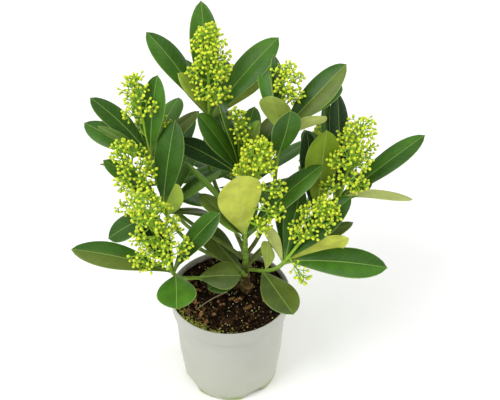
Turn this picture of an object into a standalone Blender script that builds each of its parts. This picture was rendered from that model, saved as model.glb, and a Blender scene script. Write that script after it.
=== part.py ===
"""A skimmia with pale green flower heads, standing in a light grey nursery pot.

The pot and the soil in it are turned rings. The main stem rises from the soil, and a bough
bends out from it to each leafy shoot. A shoot is one solid: a short stem, a whorl of leaves
and, on most, a flower head whose branches end in clusters of buds. Leaves that show from the
front are placed by hand, and a seeded rule adds the ones that make the shrub full behind.
Sizes are in millimetres and are turned into metres as each mesh is made. +Z is up, -Y is the
front, and the origin is the centre of the pot's flat underside.
"""

import math
import random
from dataclasses import dataclass, replace
from enum import Enum
from functools import lru_cache

import bmesh
import bpy
import numpy as np
from mathutils.bvhtree import BVHTree

MM = 0.001
GAP = 0.3
GOLDEN_ANGLE = 137.508
UPWARD = np.array([0.0, 0.0, 1.0])
SIDE_HINT = (0.37, 0.81, 0.45)
SMOOTH_BELOW = 35.0

# Pot
POT_SIDES = 40
POT_HEIGHT = 110.0
RIM_RADIUS = 60.0
COLLAR_HEIGHT = 18.0
COLLAR_FOOT_RADIUS = 58.4
BODY_TOP_RADIUS = 55.2
BODY_MID_RADIUS = 52.0
BODY_MID_HEIGHT = 38.0
BASE_RADIUS = 47.2
WALL = 1.3
FLOOR = 2.5
FLOOR_FILLET = 2.0
LIP_ROUNDING = (0.4, 0.2)
COLLAR_STEP = 0.8
EDGE = 1.2
NOTCHES = 4
NOTCH_FIRST = 31.5
NOTCH_HALF_WIDTH = 9.0
NOTCH_SLOPE = 9.0
NOTCH_RISE = 6.0
NOTCH_DEPTH = 7.0
NOTCH_STEP = 7.0

# Soil
SOIL_LEVEL = 102.0
SOIL_EDGE_DROP = 1.2
SOIL_FLAT_RADIUS = 44.0
SOIL_CORNER = 1.2

# Main stem
STEM_SIDES = 8
STEM_RINGS = 11
STEM_CROWDING = 1.25
STEM_STEPS = 200
STEM_PATH = ((15.0, 13.0, SOIL_LEVEL + GAP), (16.0, 13.5, 122.0), (15.5, 7.0, 146.0), (15.2, -1.2, 173.6))
STEM_FOOT_RADIUS = 4.2
STEM_TIP_RADIUS = 2.6
FLARE_RADIUS = 4.0
FLARE_HEIGHT = 4.5
FLARE_LOBES = 3
FLARE_LOBE_DEPTH = 0.25

# Boughs
BOUGH_SIDES = 6
BOUGH_RINGS = 7
BOUGH_FOOT_RADIUS = 2.1
BOUGH_TIP_RADIUS = 1.8
BOUGH_RISE = 38.0
BOUGH_BEND = 0.36
SEAT_POINTS = 24
SEAT_STEPS = 6

# Shoots
SHOOT_SIDES = 6
SHOOT_RINGS = 5
SHOOT_FOOT_RADIUS = 1.8
SHOOT_TOP_RADIUS = 2.3
CROWN_TOP = 3.0
CROWN_SPREAD = 9.0
CROWN_STEP = 2.7
CROWN_STEPS = 4
LOWEST_LEAF = 2.5
LEAF_STATIONS = (0.0, 0.14, 0.36, 0.62, 0.86, 1.0)
LEAF_SIDES = 4
LEAF_THICKNESS = 1.3
LEAF_ROOT = 1.7
LEAF_BASE_POWER = 1.25
LEAF_TIP_POWER = 0.72
LEAF_CLEARANCE = 1.0
LEAF_ARCH = 22.0
LEAF_FOLD = 12.0
LEAF_LEAN = 0.6
NUDGES = (4, 8, 12)
SHRINKS = (1.0, 0.9, 0.8)
SPARE_TRIES = 40
SPARE_TURN = 50.0
SPARE_LENGTH = (70.0, 88.0)
SPARE_WIDTH = (23.0, 29.0)
SPARE_RISE = (12.0, 48.0)
SPARE_ROLL = (-14.0, 14.0)
SPARE_ARCH = (14.0, 34.0)
SPARE_APART = 30.0

# Flower heads
HEAD_BRANCHES = 10
HEAD_AXIS_RADIUS = 1.2
HEAD_BRANCH_RADIUS = 0.75
CLUSTER_RADIUS = 7.4
CLUSTER_SIDES = 4
CLUSTER_NECK = 1.75
CLUSTER_WAIST = 0.75
CLUSTER_SHARE = 0.45
HEAD_SIDES = 3
HEAD_FOOT = 0.14
HEAD_TOP = 0.93
HEAD_AXIS_SHARE = 0.92
HEAD_TAPER = 0.5
HEAD_TILT = (0.25, 0.9)
HEAD_VARIES = (0.88, 1.12)
TIP_CLUSTER = (8.0, 12.0, 0.8)
FLAT_ANGLE = 2.5

# Colours and finishes, as red, green, blue, roughness and metallic
FINISHES = {
    "pot": (0.76, 0.77, 0.72, 0.55, 0.0),
    "soil": (0.045, 0.03, 0.02, 0.95, 0.0),
    "bark": (0.16, 0.13, 0.06, 0.85, 0.0),
    "green_bark": (0.22, 0.32, 0.08, 0.7, 0.0),
    "shoot": (0.10, 0.24, 0.05, 0.45, 0.0),
}


class Seat(Enum):
    """What carries a shoot: its own bough, the main stem's side or the main stem's tip."""

    BOUGH = "bough"
    SIDE = "side"
    TIP = "tip"


@dataclass(frozen=True)
class Leaf:
    """One leaf: the bearing and rise of its chord, its length and width, and its roll."""

    bearing: float
    rise: float
    length: float
    width: float
    roll: float = 0.0
    arch: float = LEAF_ARCH
    drop: float = 0.0


@dataclass(frozen=True)
class Lobe:
    """A long lower branch of a flower head, which stands out of the cone."""

    place: float
    bearing: float
    rise: float
    length: float


@dataclass(frozen=True)
class Shoot:
    """A leafy shoot: its crown, the way its head leans, its own stem, leaves and flower head."""

    name: str
    crown: tuple
    lean: tuple
    stem: float
    head: tuple
    leaves: tuple
    lobes: tuple = ()
    spare: int = 3
    spare_arc: tuple = (15.0, 165.0)
    joins: float = 0.5
    foot_way: tuple = None
    seat: Seat = Seat.BOUGH
    seed: int = 1


SHOOTS = (
    Shoot(
        "shoot_front", (15, -5, 186), (45, 78), 0.0, (110, 32), seed=5, seat=Seat.TIP,
        leaves=(
            Leaf(-119, 83, 83, 44, 58, 26),
            Leaf(150, 46, 98, 27, 50),
            Leaf(26, 41, 105, 28, 11),
            Leaf(-157, 53, 50, 20),
            Leaf(140, 30, 62, 22),
        ),
        lobes=(Lobe(0.30, -20, 12, 36), Lobe(0.16, -35, 10, 26)),
        spare=1,
    ),
    Shoot(
        "shoot_low_left", (-54, -30, 164), (160, 72), 41.0, (100, 33), seed=4,
        foot_way=(-145, 39), joins=0.22,
        leaves=(
            Leaf(17, 52, 78, 29, 17),
            Leaf(177, 15, 100, 28, -21),
            Leaf(-86, 13, 62, 37, -10),
            Leaf(-2, 6, 43, 29, 28, 22, 36.0),
        ),
        lobes=(Lobe(0.24, -150, 20, 38), Lobe(0.3, -20, 30, 34), Lobe(0.12, -170, 0, 34)),
        spare=1,
    ),
    Shoot(
        "shoot_low_right", (53, -15, 163), (8, 58), 0.0, (86, 31), seed=9,
        foot_way=(-28, 24), joins=0.46, seat=Seat.SIDE,
        leaves=(
            Leaf(64, 70, 76, 21, -6),
            Leaf(21, 50, 93, 29, 5),
            Leaf(26, 17, 82, 26, -20),
            Leaf(-3, 31, 76, 24, -85),
            Leaf(-14, 8, 100, 32, 28),
            Leaf(148, 60, 58, 18, 68),
            Leaf(-66, 4, 72, 33, 22, 22, 36.0),
            Leaf(11, 84, 38, 18, 38, 22, 30.0),
        ),
        lobes=(Lobe(0.1, -55, -22, 32), Lobe(0.12, -35, -25, 34)),
        spare=1,
    ),
    Shoot(
        "shoot_mid_left", (-63, 14, 204), (165, 60), 24.0, (84, 31), seed=3, joins=0.44,
        leaves=(
            Leaf(67, 68, 90, 31, 31),
            Leaf(34, 15, 78, 26),
            Leaf(26, -19, 48, 23),
            Leaf(3, 72, 40, 26, 49),
            Leaf(-164, -23, 60, 31, -16),
        ),
        lobes=(Lobe(0.12, -165, 5, 42),),
        spare=2,
    ),
    Shoot(
        "shoot_right", (106, 28, 207), (30, 75), 42.0, (92, 28), seed=8, joins=0.6,
        foot_way=(20, 28),
        leaves=(
            Leaf(92, 55, 102, 21, 4),
            Leaf(102, 55, 96, 25, 11),
            Leaf(21, 32, 107, 25, 13),
            Leaf(14, 31, 44, 23),
            Leaf(-29, 21, 80, 23, -50),
            Leaf(100, 59, 84, 22, 0, 22, 31.0),
            Leaf(79, 78, 90, 35, 168, 14, 27.0),
        ),
        lobes=(Lobe(0.14, -160, 10, 24), Lobe(0.2, -30, 20, 28)),
        spare=2,
    ),
    Shoot(
        "shoot_upper_left", (-74, 42, 247), (128, 74), 26.0, (88, 24), seed=2, joins=0.7,
        leaves=(
            Leaf(62, 73, 84, 28, 36),
            Leaf(153, 38, 82, 24, -17),
            Leaf(150, 12, 80, 25, -23),
            Leaf(176, 46, 70, 18, 47),
            Leaf(32, 31, 63, 19, 10),
        ),
        lobes=(Lobe(0.3, 20, 25, 26),),
        spare=2,
    ),
    Shoot(
        "shoot_centre", (10, 36, 231), (100, 76), 24.0, (70, 18), seed=6, joins=0.97,
        leaves=(
            Leaf(174, 60, 78, 29, -34),
            Leaf(163, 24, 70, 25, -23),
            Leaf(134, 66, 88, 27, 20),
            Leaf(40, 42, 82, 28, 24),
            Leaf(45, 67, 58, 25, 11),
        ),
        spare=2,
    ),
    Shoot(
        "shoot_upper_right", (47, 35, 280), (74, 75), 26.0, (70, 26), seed=7, joins=0.8,
        leaves=(
            Leaf(-121, 73, 54, 30, 9),
            Leaf(20, 45, 92, 29, 33),
            Leaf(-20, 39, 58, 22, -41),
            Leaf(100, 73, 82, 24, 33),
            Leaf(-66, 71, 70, 28, 184, 22, 24.0),
        ),
        spare=2, spare_arc=(40.0, 110.0),
    ),
    Shoot(
        "shoot_top", (-19, 62, 281), (88, 78), 28.0, (92, 29), seed=11, joins=0.84,
        foot_way=(-60, 74),
        leaves=(
            Leaf(97, 59, 107, 29, 14),
            Leaf(146, 45, 99, 27, -20),
            Leaf(33, 39, 102, 31, 23),
            Leaf(24, 32, 65, 20, -68),
            Leaf(-179, 60, 55, 20, -27),
        ),
        spare=3,
    ),
    Shoot(
        "shoot_foot", (13, -1, 135), (-100, 60), 0.0, (), seed=15,
        foot_way=(-100, 30), joins=0.36, seat=Seat.SIDE,
        leaves=(
            Leaf(136, 25, 66, 27, 8),
            Leaf(-162, -14, 44, 24),
        ),
        spare=0,
    ),
    Shoot(
        "shoot_back_left", (-66, 84, 184), (128, 70), 24.0, (74, 22), seed=12, joins=0.37,
        leaves=(), spare=7, spare_arc=(-180.0, 180.0),
    ),
    Shoot(
        "shoot_back", (16, 94, 168), (88, 70), 24.0, (74, 22), seed=13, joins=0.31,
        leaves=(), spare=7, spare_arc=(-180.0, 180.0),
    ),
    Shoot(
        "shoot_back_right", (84, 84, 180), (48, 70), 24.0, (74, 22), seed=14, joins=0.51,
        leaves=(), spare=7, spare_arc=(-180.0, 180.0),
    ),
)


def direction(bearing, rise):
    """Unit vector at a bearing from +X and a rise above level, both in degrees."""
    flat = math.cos(math.radians(rise))
    angle = math.radians(bearing)
    return np.array([flat * math.cos(angle), flat * math.sin(angle), math.sin(math.radians(rise))])


def unit(vector):
    """The vector at length 1."""
    return vector / np.linalg.norm(vector)


def turned(vector, axis, degrees):
    """The vector turned about a unit axis."""
    angle = math.radians(degrees)
    across = np.cross(axis, vector)
    along = axis * np.dot(axis, vector)
    return vector * math.cos(angle) + across * math.sin(angle) + along * (1.0 - math.cos(angle))


def bezier(points, count):
    """Points spaced evenly in parameter along a cubic Bezier curve."""
    t = np.linspace(0.0, 1.0, count)[:, None]
    a, b, c, d = (np.array(point, float) for point in points)
    return a * (1 - t) ** 3 + 3 * b * t * (1 - t) ** 2 + 3 * c * t ** 2 * (1 - t) + d * t ** 3


def smooth_path(points, count):
    """A smooth curve through a few points, as a Catmull-Rom spline read at even steps."""
    knots = np.array(points, float)
    padded = np.vstack([2 * knots[0] - knots[1], knots, 2 * knots[-1] - knots[-2]])
    places = np.linspace(0.0, len(knots) - 1.0, count)
    spans = np.minimum(places.astype(int), len(knots) - 2)
    t = (places - spans)[:, None]
    p0, p1, p2, p3 = (padded[spans + k] for k in range(4))
    return 0.5 * (2 * p1 + (p2 - p0) * t + (2 * p0 - 5 * p1 + 4 * p2 - p3) * t ** 2
                  + (3 * p1 - p0 - 3 * p2 + p3) * t ** 3)


def tube(path, radii, sides, foot_way=None, tip_way=None):
    """Vertices and triangles of a closed tube with the given radii, square to its end ways."""
    path = np.array(path, float)
    tangents = np.gradient(path, axis=0)
    tangents /= np.linalg.norm(tangents, axis=1)[:, None]
    if foot_way is not None:
        tangents[0] = foot_way
    if tip_way is not None:
        tangents[-1] = tip_way
    side = unit(np.cross(tangents[0], SIDE_HINT))
    rings = []
    angles = np.linspace(0.0, 2.0 * math.pi, sides, endpoint=False)
    for centre, tangent, radius in zip(path, tangents, radii):
        side = unit(side - tangent * np.dot(side, tangent))
        other = np.cross(tangent, side)
        reach = np.broadcast_to(radius, angles.shape)[:, None]
        rings.append(centre + reach * (np.cos(angles)[:, None] * side + np.sin(angles)[:, None] * other))
    vertices = np.vstack(rings + [path[:1], path[-1:]])
    faces = []
    for ring in range(len(path) - 1):
        for k in range(sides):
            a = ring * sides + k
            b = ring * sides + (k + 1) % sides
            faces += [(a, b, b + sides), (a, b + sides, a + sides)]
    foot, tip = len(vertices) - 2, len(vertices) - 1
    last = (len(path) - 1) * sides
    for k in range(sides):
        faces += [(foot, (k + 1) % sides, k), (tip, last + k, last + (k + 1) % sides)]
    return vertices, faces


def leaf_mesh(leaf, root, axis, extra=0.0):
    """A leaf as a thin closed solid, folded along its midrib and arched along its length.

    The chord runs from the root at the leaf's bearing and rise. The half width is
    s^a (1 - s)^b scaled to its greatest value, with s from 0 at the root to 1 at the tip.
    """
    chord = direction(leaf.bearing, leaf.rise)
    lift = unit(LEAF_LEAN * axis + (1.0 - LEAF_LEAN) * UPWARD)
    normal = unit(lift - chord * np.dot(lift, chord))
    normal = turned(normal, chord, leaf.roll)
    side = np.cross(chord, normal)
    stations = np.array(LEAF_STATIONS)
    bend = np.radians(leaf.arch) * (0.5 - stations)
    steps = np.diff(stations, prepend=0.0) * leaf.length
    middle = (bend + np.concatenate([bend[:1], bend[:-1]])) / 2.0
    spine = root + np.cumsum(steps[:, None] * (np.cos(middle)[:, None] * chord
                                               + np.sin(middle)[:, None] * normal), axis=0)
    upright = np.cos(bend)[:, None] * normal - np.sin(bend)[:, None] * chord
    peak = LEAF_BASE_POWER / (LEAF_BASE_POWER + LEAF_TIP_POWER)
    shape = stations ** LEAF_BASE_POWER * (1.0 - stations) ** LEAF_TIP_POWER
    shape /= peak ** LEAF_BASE_POWER * (1.0 - peak) ** LEAF_TIP_POWER
    half = np.maximum(shape * leaf.width / 2.0, LEAF_ROOT) + extra
    raised = np.maximum(half - LEAF_ROOT, 0.0) * math.tan(math.radians(LEAF_FOLD))
    thick = LEAF_THICKNESS / 2.0 + extra
    left = spine + half[:, None] * side + raised[:, None] * upright
    right = spine - half[:, None] * side + raised[:, None] * upright
    top = spine + thick * upright
    bottom = spine - thick * upright
    count = len(stations) - 1
    rings = np.stack([left, top, right, bottom], axis=1)[:count].reshape(-1, 3)
    vertices = np.vstack([rings, spine[-1:] + chord * extra])
    tip = len(vertices) - 1
    faces = [(0, 2, 1), (0, 3, 2)]
    for ring in range(count - 1):
        a = ring * LEAF_SIDES
        b = a + LEAF_SIDES
        faces += [(a, a + 1, b + 1), (a, b + 1, b)]
        faces += [(a + 1, a + 2, b + 1), (a + 2, b + 2, b + 1)]
        faces += [(a + 2, a + 3, b + 3), (a + 2, b + 3, b + 2)]
        faces += [(a + 3, a, b + 3), (a, b, b + 3)]
    a = (count - 1) * LEAF_SIDES
    faces += [(a + k, a + (k + 1) % LEAF_SIDES, tip) for k in range(LEAF_SIDES)]
    return vertices, faces


def club_mesh(root, way, reach, size):
    """A branch that widens into a cluster of buds at its end, as one closed solid."""
    places = (0.0, reach - CLUSTER_NECK * size, reach - CLUSTER_WAIST * size)
    path = [root + way * place for place in places]
    vertices, faces = tube(path, (HEAD_BRANCH_RADIUS, HEAD_BRANCH_RADIUS, size), CLUSTER_SIDES)
    vertices[-1] = root + way * reach
    return vertices, faces


class Space:
    """What has been placed, so that a new piece can be kept clear of it."""

    def __init__(self):
        self.placed = []

    def add(self, owner, part, shape):
        """Remember a placed shape, with the node that owns it and the kind of part it is."""
        vertices, faces = shape
        tree = BVHTree.FromPolygons([tuple(point) for point in vertices], faces)
        self.placed.append((owner, part, tree, vertices.min(axis=0), vertices.max(axis=0)))

    def touches(self, owner, shape, own=False):
        """Whether a shape meets other nodes' pieces or, with own set, its own node's outer ones."""
        vertices, faces = shape
        tree = BVHTree.FromPolygons([tuple(point) for point in vertices], faces)
        low, high = vertices.min(axis=0), vertices.max(axis=0)
        for other, part, placed, other_low, other_high in self.placed:
            if (other == owner) != own or (part == "outer") != own:
                continue
            if (low > other_high).any() or (high < other_low).any():
                continue
            if tree.overlap(placed):
                return True
        return False


def outer_part(shape):
    """The part of a leaf beyond its stalk, where it should not cross its neighbours."""
    vertices, faces = shape
    first = LEAF_SIDES * 2
    kept = [tuple(index - first for index in face) for face in faces if min(face) >= first]
    return vertices[first:], kept


def stem_point(place):
    """The main stem's centre and radius at a share of its height."""
    path = smooth_path(STEM_PATH, STEM_STEPS + 1)
    radius = STEM_FOOT_RADIUS + (STEM_TIP_RADIUS - STEM_FOOT_RADIUS) * place
    return path[round(place * STEM_STEPS)], radius


def main_stem():
    """The main stem, from a flat cut on the soil with a root flare, to its tip."""
    places = np.linspace(0.0, 1.0, STEM_RINGS) ** STEM_CROWDING
    fine = smooth_path(STEM_PATH, STEM_STEPS + 1)
    path = fine[np.round(places * STEM_STEPS).astype(int)]
    angles = np.linspace(0.0, 2.0 * math.pi, STEM_SIDES, endpoint=False)
    radii = []
    for place, centre in zip(places, path):
        flare = math.exp(-(centre[2] - path[0][2]) / FLARE_HEIGHT)
        round_part = STEM_FOOT_RADIUS + (STEM_TIP_RADIUS - STEM_FOOT_RADIUS) * place
        lobes = 1.0 + FLARE_LOBE_DEPTH * np.cos(FLARE_LOBES * angles)
        radii.append(round_part + FLARE_RADIUS * flare * lobes)
    tip_way = unit(np.subtract(STEM_PATH[-1], STEM_PATH[-2]))
    return tube(path, radii, STEM_SIDES, foot_way=UPWARD, tip_way=tip_way)


def foot_on_stem(place, toward, rise, foot_radius):
    """Where a limb leaves the main stem's side, a gap clear of the bark, and the way it leaves."""
    centre, radius = stem_point(place)
    flat = toward - centre
    bearing = math.degrees(math.atan2(flat[1], flat[0]))
    leaving, outward = direction(bearing, rise), direction(bearing, 0.0)
    side = np.cross(outward, UPWARD)
    up = np.cross(side, leaving)
    vertices, faces = main_stem()
    bark = BVHTree.FromPolygons([tuple(point) for point in vertices], faces)
    angles = np.linspace(0.0, 2.0 * math.pi, SEAT_POINTS, endpoint=False)[:, None]
    ring = foot_radius * (np.cos(angles) * side + np.sin(angles) * up)
    offset = radius + foot_radius
    for _ in range(SEAT_STEPS):
        clear = min(bark.find_nearest(tuple(point))[3] for point in centre + outward * offset + ring)
        offset -= clear - GAP
    return centre + outward * offset, leaving


@lru_cache(maxsize=None)
def shoot_frame(shoot):
    """Where a shoot's stem starts, the way it leaves there, its head's lean and its crown."""
    lean = direction(*shoot.lean)
    crown = np.array(shoot.crown, float)
    if shoot.seat is Seat.SIDE:
        start, way = foot_on_stem(shoot.joins, crown, shoot.foot_way[1], SHOOT_FOOT_RADIUS)
        return start, way, lean, crown
    if shoot.seat is Seat.TIP:
        below, tip = (np.array(point) for point in STEM_PATH[-2:])
        way = unit(tip - below)
        return tip + way * GAP, way, lean, crown
    way = direction(*shoot.foot_way) if shoot.foot_way else lean
    return crown - way * (shoot.stem - GAP), way, lean, crown


def shoot_stem(shoot):
    """The shoot's own stem, which swells a little under the leaves."""
    start, way, lean, crown = shoot_frame(shoot)
    reach = np.linalg.norm(crown - start) / 3.0
    knots = (start, start + way * reach, crown - lean * reach, crown + lean * CROWN_TOP)
    path = bezier(knots, SHOOT_RINGS)
    radii = np.linspace(SHOOT_FOOT_RADIUS, SHOOT_TOP_RADIUS, SHOOT_RINGS)
    return tube(path, radii, SHOOT_SIDES, foot_way=way), path


def bough(shoot):
    """The limb from the main stem to a shoot's seat, as one tapering bend."""
    start, way, _, _ = shoot_frame(shoot)
    seat = start - way * GAP
    foot, leaving = foot_on_stem(shoot.joins, seat, BOUGH_RISE, BOUGH_FOOT_RADIUS)
    reach = np.linalg.norm(seat - foot) * BOUGH_BEND
    path = bezier((foot, foot + leaving * reach, seat - way * reach, seat), BOUGH_RINGS)
    radii = np.linspace(BOUGH_FOOT_RADIUS, BOUGH_TIP_RADIUS, BOUGH_RINGS)
    return tube(path, radii, BOUGH_SIDES, foot_way=leaving, tip_way=way)


def head_parts(shoot):
    """The flower head: a tapering axis, and branches that each end in a cluster of buds."""
    if not shoot.head:
        return []
    length, radius = shoot.head
    _, _, lean, crown = shoot_frame(shoot)
    draw = random.Random(shoot.seed)
    below, reach, share = TIP_CLUSTER
    tip = crown + lean * (length - CLUSTER_RADIUS)
    path = np.linspace(crown, tip, 4)
    parts = [tube(path, np.linspace(HEAD_AXIS_RADIUS, HEAD_BRANCH_RADIUS, 4), HEAD_SIDES)]
    parts.append(club_mesh(tip - lean * below, lean, reach, CLUSTER_RADIUS * share))
    side = unit(np.cross(lean, SIDE_HINT))
    for k in range(HEAD_BRANCHES):
        place = HEAD_FOOT + (HEAD_TOP - HEAD_FOOT) * k / (HEAD_BRANCHES - 1)
        reach = radius * (1.0 - HEAD_TAPER * place ** 2) * draw.uniform(*HEAD_VARIES)
        outward = turned(side, lean, k * GOLDEN_ANGLE)
        way = unit(outward + lean * (HEAD_TILT[0] + HEAD_TILT[1] * place))
        root = crown + lean * length * place * HEAD_AXIS_SHARE
        parts.append(head_branch(root, way, reach))
    for lobe in shoot.lobes:
        root = crown + lean * length * lobe.place * HEAD_AXIS_SHARE
        parts.append(head_branch(root, direction(lobe.bearing, lobe.rise), lobe.length))
    return parts


def head_branch(root, way, reach):
    """One branch of a flower head, with the cluster of buds on its end."""
    size = min(CLUSTER_RADIUS, reach * CLUSTER_SHARE)
    return club_mesh(root, way, reach, size)


def place_leaf(space, shoot, leaf, path):
    """Put a leaf on its stem, turned or shortened a little where it would touch something."""
    _, _, lean, _ = shoot_frame(shoot)
    lengths = np.linalg.norm(np.diff(path, axis=0), axis=1)
    travelled = np.concatenate([[0.0], np.cumsum(lengths)])
    along = max(travelled[-1] - CROWN_TOP - leaf.drop, LOWEST_LEAF)
    root = np.array([np.interp(along, travelled, path[:, k]) for k in range(3)])
    nudges = [(0, 0)]
    for size in NUDGES:
        nudges += [(size, 0), (-size, 0), (0, size), (0, -size), (size, size), (-size, size)]
    for shrink in SHRINKS:
        for turn, raise_by in nudges:
            tried = Leaf(leaf.bearing + turn, leaf.rise + raise_by, leaf.length * shrink,
                         leaf.width * shrink ** 0.5, leaf.roll, leaf.arch, leaf.drop)
            generous = leaf_mesh(tried, root, lean, LEAF_CLEARANCE)
            if space.touches(shoot.name, generous):
                continue
            if space.touches(shoot.name, outer_part(generous), own=True):
                continue
            shape = leaf_mesh(tried, root, lean)
            space.add(shoot.name, "leaf", shape)
            space.add(shoot.name, "outer", outer_part(shape))
            return shape, tried
    return None, None


def angle_between(first, second):
    """The angle between two leaves' chords, in degrees."""
    cosine = np.dot(direction(first.bearing, first.rise), direction(second.bearing, second.rise))
    return math.degrees(math.acos(max(-1.0, min(1.0, cosine))))


def add_spare_leaves(space, shoot, path, taken):
    """Leaves that the rule adds: golden-angle bearings within an arc, clear of those taken."""
    draw = random.Random(shoot.seed * 101)
    added = []
    first, last = shoot.spare_arc
    for k in range(SPARE_TRIES):
        if len(added) == shoot.spare:
            break
        bearing = first + (k * GOLDEN_ANGLE + SPARE_TURN * shoot.seed) % (last - first)
        leaf = Leaf(bearing, draw.uniform(*SPARE_RISE), draw.uniform(*SPARE_LENGTH),
                    draw.uniform(*SPARE_WIDTH), draw.uniform(*SPARE_ROLL),
                    draw.uniform(*SPARE_ARCH), draw.uniform(0.0, CROWN_SPREAD))
        if any(angle_between(leaf, other) < SPARE_APART for other in taken):
            continue
        shape, placed = place_leaf(space, shoot, leaf, path)
        if shape is not None:
            added.append(shape)
            taken.append(placed)
    return added


def grow():
    """Place every limb, head and leaf, and return each node's list of closed shapes."""
    space = Space()
    nodes = {"main_stem": [main_stem()]}
    space.add("main_stem", "limb", nodes["main_stem"][0])
    paths = {}
    for shoot in SHOOTS:
        if shoot.seat is Seat.BOUGH:
            name = shoot.name.replace("shoot", "bough")
            nodes[name] = [bough(shoot)]
            space.add(name, "limb", nodes[name][0])
    for shoot in SHOOTS:
        stem, path = shoot_stem(shoot)
        paths[shoot.name] = path
        nodes[shoot.name] = [stem]
        space.add(shoot.name, "limb", stem)
        for axis in head_parts(shoot)[:1]:
            nodes[shoot.name].append(axis)
            space.add(shoot.name, "limb", axis)
    for shoot in SHOOTS:
        for branch in head_parts(shoot)[1:]:
            if not space.touches(shoot.name, branch):
                nodes[shoot.name].append(branch)
                space.add(shoot.name, "head", branch)
    kept = {}
    for shoot in SHOOTS:
        kept[shoot.name] = []
        for index, leaf in enumerate(shoot.leaves):
            leaf = replace(leaf, drop=leaf.drop or index % CROWN_STEPS * CROWN_STEP)
            shape, placed = place_leaf(space, shoot, leaf, paths[shoot.name])
            if shape is not None:
                nodes[shoot.name].append(shape)
                kept[shoot.name].append(placed)
    for shoot in SHOOTS:
        nodes[shoot.name] += add_spare_leaves(space, shoot, paths[shoot.name], kept[shoot.name])
    return nodes


def notch(angle):
    """How far a drain notch in the pot's bottom edge is open at an angle, from 0 to 1."""
    spacing = 360.0 / NOTCHES
    offset = (math.degrees(angle) - NOTCH_FIRST + spacing / 2.0) % spacing - spacing / 2.0
    return min(1.0, max(0.0, (NOTCH_HALF_WIDTH + NOTCH_SLOPE - abs(offset)) / NOTCH_SLOPE))


def inner_profile(opening, gap):
    """The pot's inside as (radius, height) from the lip down to the floor, set in by a gap."""
    return [
        (RIM_RADIUS - WALL - gap, POT_HEIGHT - EDGE),
        (COLLAR_FOOT_RADIUS - WALL - gap, POT_HEIGHT - COLLAR_HEIGHT + EDGE),
        (BODY_TOP_RADIUS - WALL - gap, POT_HEIGHT - COLLAR_HEIGHT - EDGE),
        (BODY_MID_RADIUS - WALL - gap, BODY_MID_HEIGHT),
        (BASE_RADIUS - WALL - gap, FLOOR + EDGE + NOTCH_STEP * opening + gap),
        (BASE_RADIUS - WALL - FLOOR_FILLET - NOTCH_DEPTH * opening - gap, FLOOR + gap),
    ]


def outer_profile(opening):
    """The pot's outside as (radius, height) from the underside up to the lip."""
    return [
        (BASE_RADIUS - EDGE - NOTCH_DEPTH * opening, 0.0),
        (BASE_RADIUS, EDGE + NOTCH_RISE * opening),
        (BODY_MID_RADIUS, BODY_MID_HEIGHT),
        (BODY_TOP_RADIUS, POT_HEIGHT - COLLAR_HEIGHT - EDGE),
        (COLLAR_FOOT_RADIUS - COLLAR_STEP, POT_HEIGHT - COLLAR_HEIGHT),
        (COLLAR_FOOT_RADIUS, POT_HEIGHT - COLLAR_HEIGHT + EDGE),
        (RIM_RADIUS, POT_HEIGHT - EDGE),
        (RIM_RADIUS - LIP_ROUNDING[0], POT_HEIGHT),
        (RIM_RADIUS - WALL + LIP_ROUNDING[1], POT_HEIGHT),
    ]


def soil_profile(opening):
    """The soil as (radius, height) from under its middle up its side to its flat top."""
    inside = inner_profile(opening, GAP)
    lip, collar = inside[0], inside[1]
    edge_height = SOIL_LEVEL - SOIL_EDGE_DROP
    share = (edge_height - collar[1]) / (lip[1] - collar[1])
    edge = (collar[0] + (lip[0] - collar[0]) * share, edge_height)
    floor, foot, middle, shoulder = inside[5], inside[4], inside[3], inside[2]
    corner = [(radius - SOIL_CORNER, height + SOIL_CORNER) for radius, height in (floor, foot)]
    return corner + [middle, shoulder, collar, edge, (SOIL_FLAT_RADIUS, SOIL_LEVEL)]


def turned_solid(profile, low, high):
    """A closed turned solid from a profile that may change with the angle."""
    angles = np.linspace(0.0, 2.0 * math.pi, POT_SIDES, endpoint=False)
    rings = np.array([profile(notch(angle)) for angle in angles])
    count = rings.shape[1]
    x = rings[:, :, 0] * np.cos(angles)[:, None]
    y = rings[:, :, 0] * np.sin(angles)[:, None]
    points = np.stack([x, y, rings[:, :, 1]], axis=2).reshape(-1, 3)
    vertices = np.vstack([points, (0.0, 0.0, low), (0.0, 0.0, high)])
    first, last = len(vertices) - 2, len(vertices) - 1
    faces = []
    for side in range(POT_SIDES):
        a = side * count
        b = (side + 1) % POT_SIDES * count
        for k in range(count - 1):
            faces += [(a + k, b + k, b + k + 1), (a + k, b + k + 1, a + k + 1)]
        faces += [(first, b, a), (last, a + count - 1, b + count - 1)]
    return vertices, faces


def pot_solid():
    """The pot, open at the top, with drain notches in its bottom edge."""
    return turned_solid(lambda opening: outer_profile(opening) + inner_profile(opening, 0.0), 0.0, FLOOR)


def soil_solid():
    """The soil that fills the pot to just under its rim."""
    return turned_solid(soil_profile, FLOOR + GAP, SOIL_LEVEL)


def finish_material(name, finish):
    """A material with the colour, roughness and metallic value of a finish."""
    red, green, blue, roughness, metallic = FINISHES[finish]
    material = bpy.data.materials.new(name)
    material.use_nodes = True
    shader = material.node_tree.nodes["Principled BSDF"]
    shader.inputs["Base Color"].default_value = (red, green, blue, 1.0)
    shader.inputs["Roughness"].default_value = roughness
    shader.inputs["Metallic"].default_value = metallic
    material.diffuse_color = (red, green, blue, 1.0)
    return material


def mesh_object(name, shape):
    """An object in the scene made from vertices in millimetres and faces."""
    vertices, faces = shape
    mesh = bpy.data.meshes.new(name)
    mesh.from_pydata((np.array(vertices) * MM).tolist(), [], [list(face) for face in faces])
    mesh.validate()
    made = bpy.data.objects.new(name, mesh)
    bpy.context.scene.collection.objects.link(made)
    return made


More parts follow.
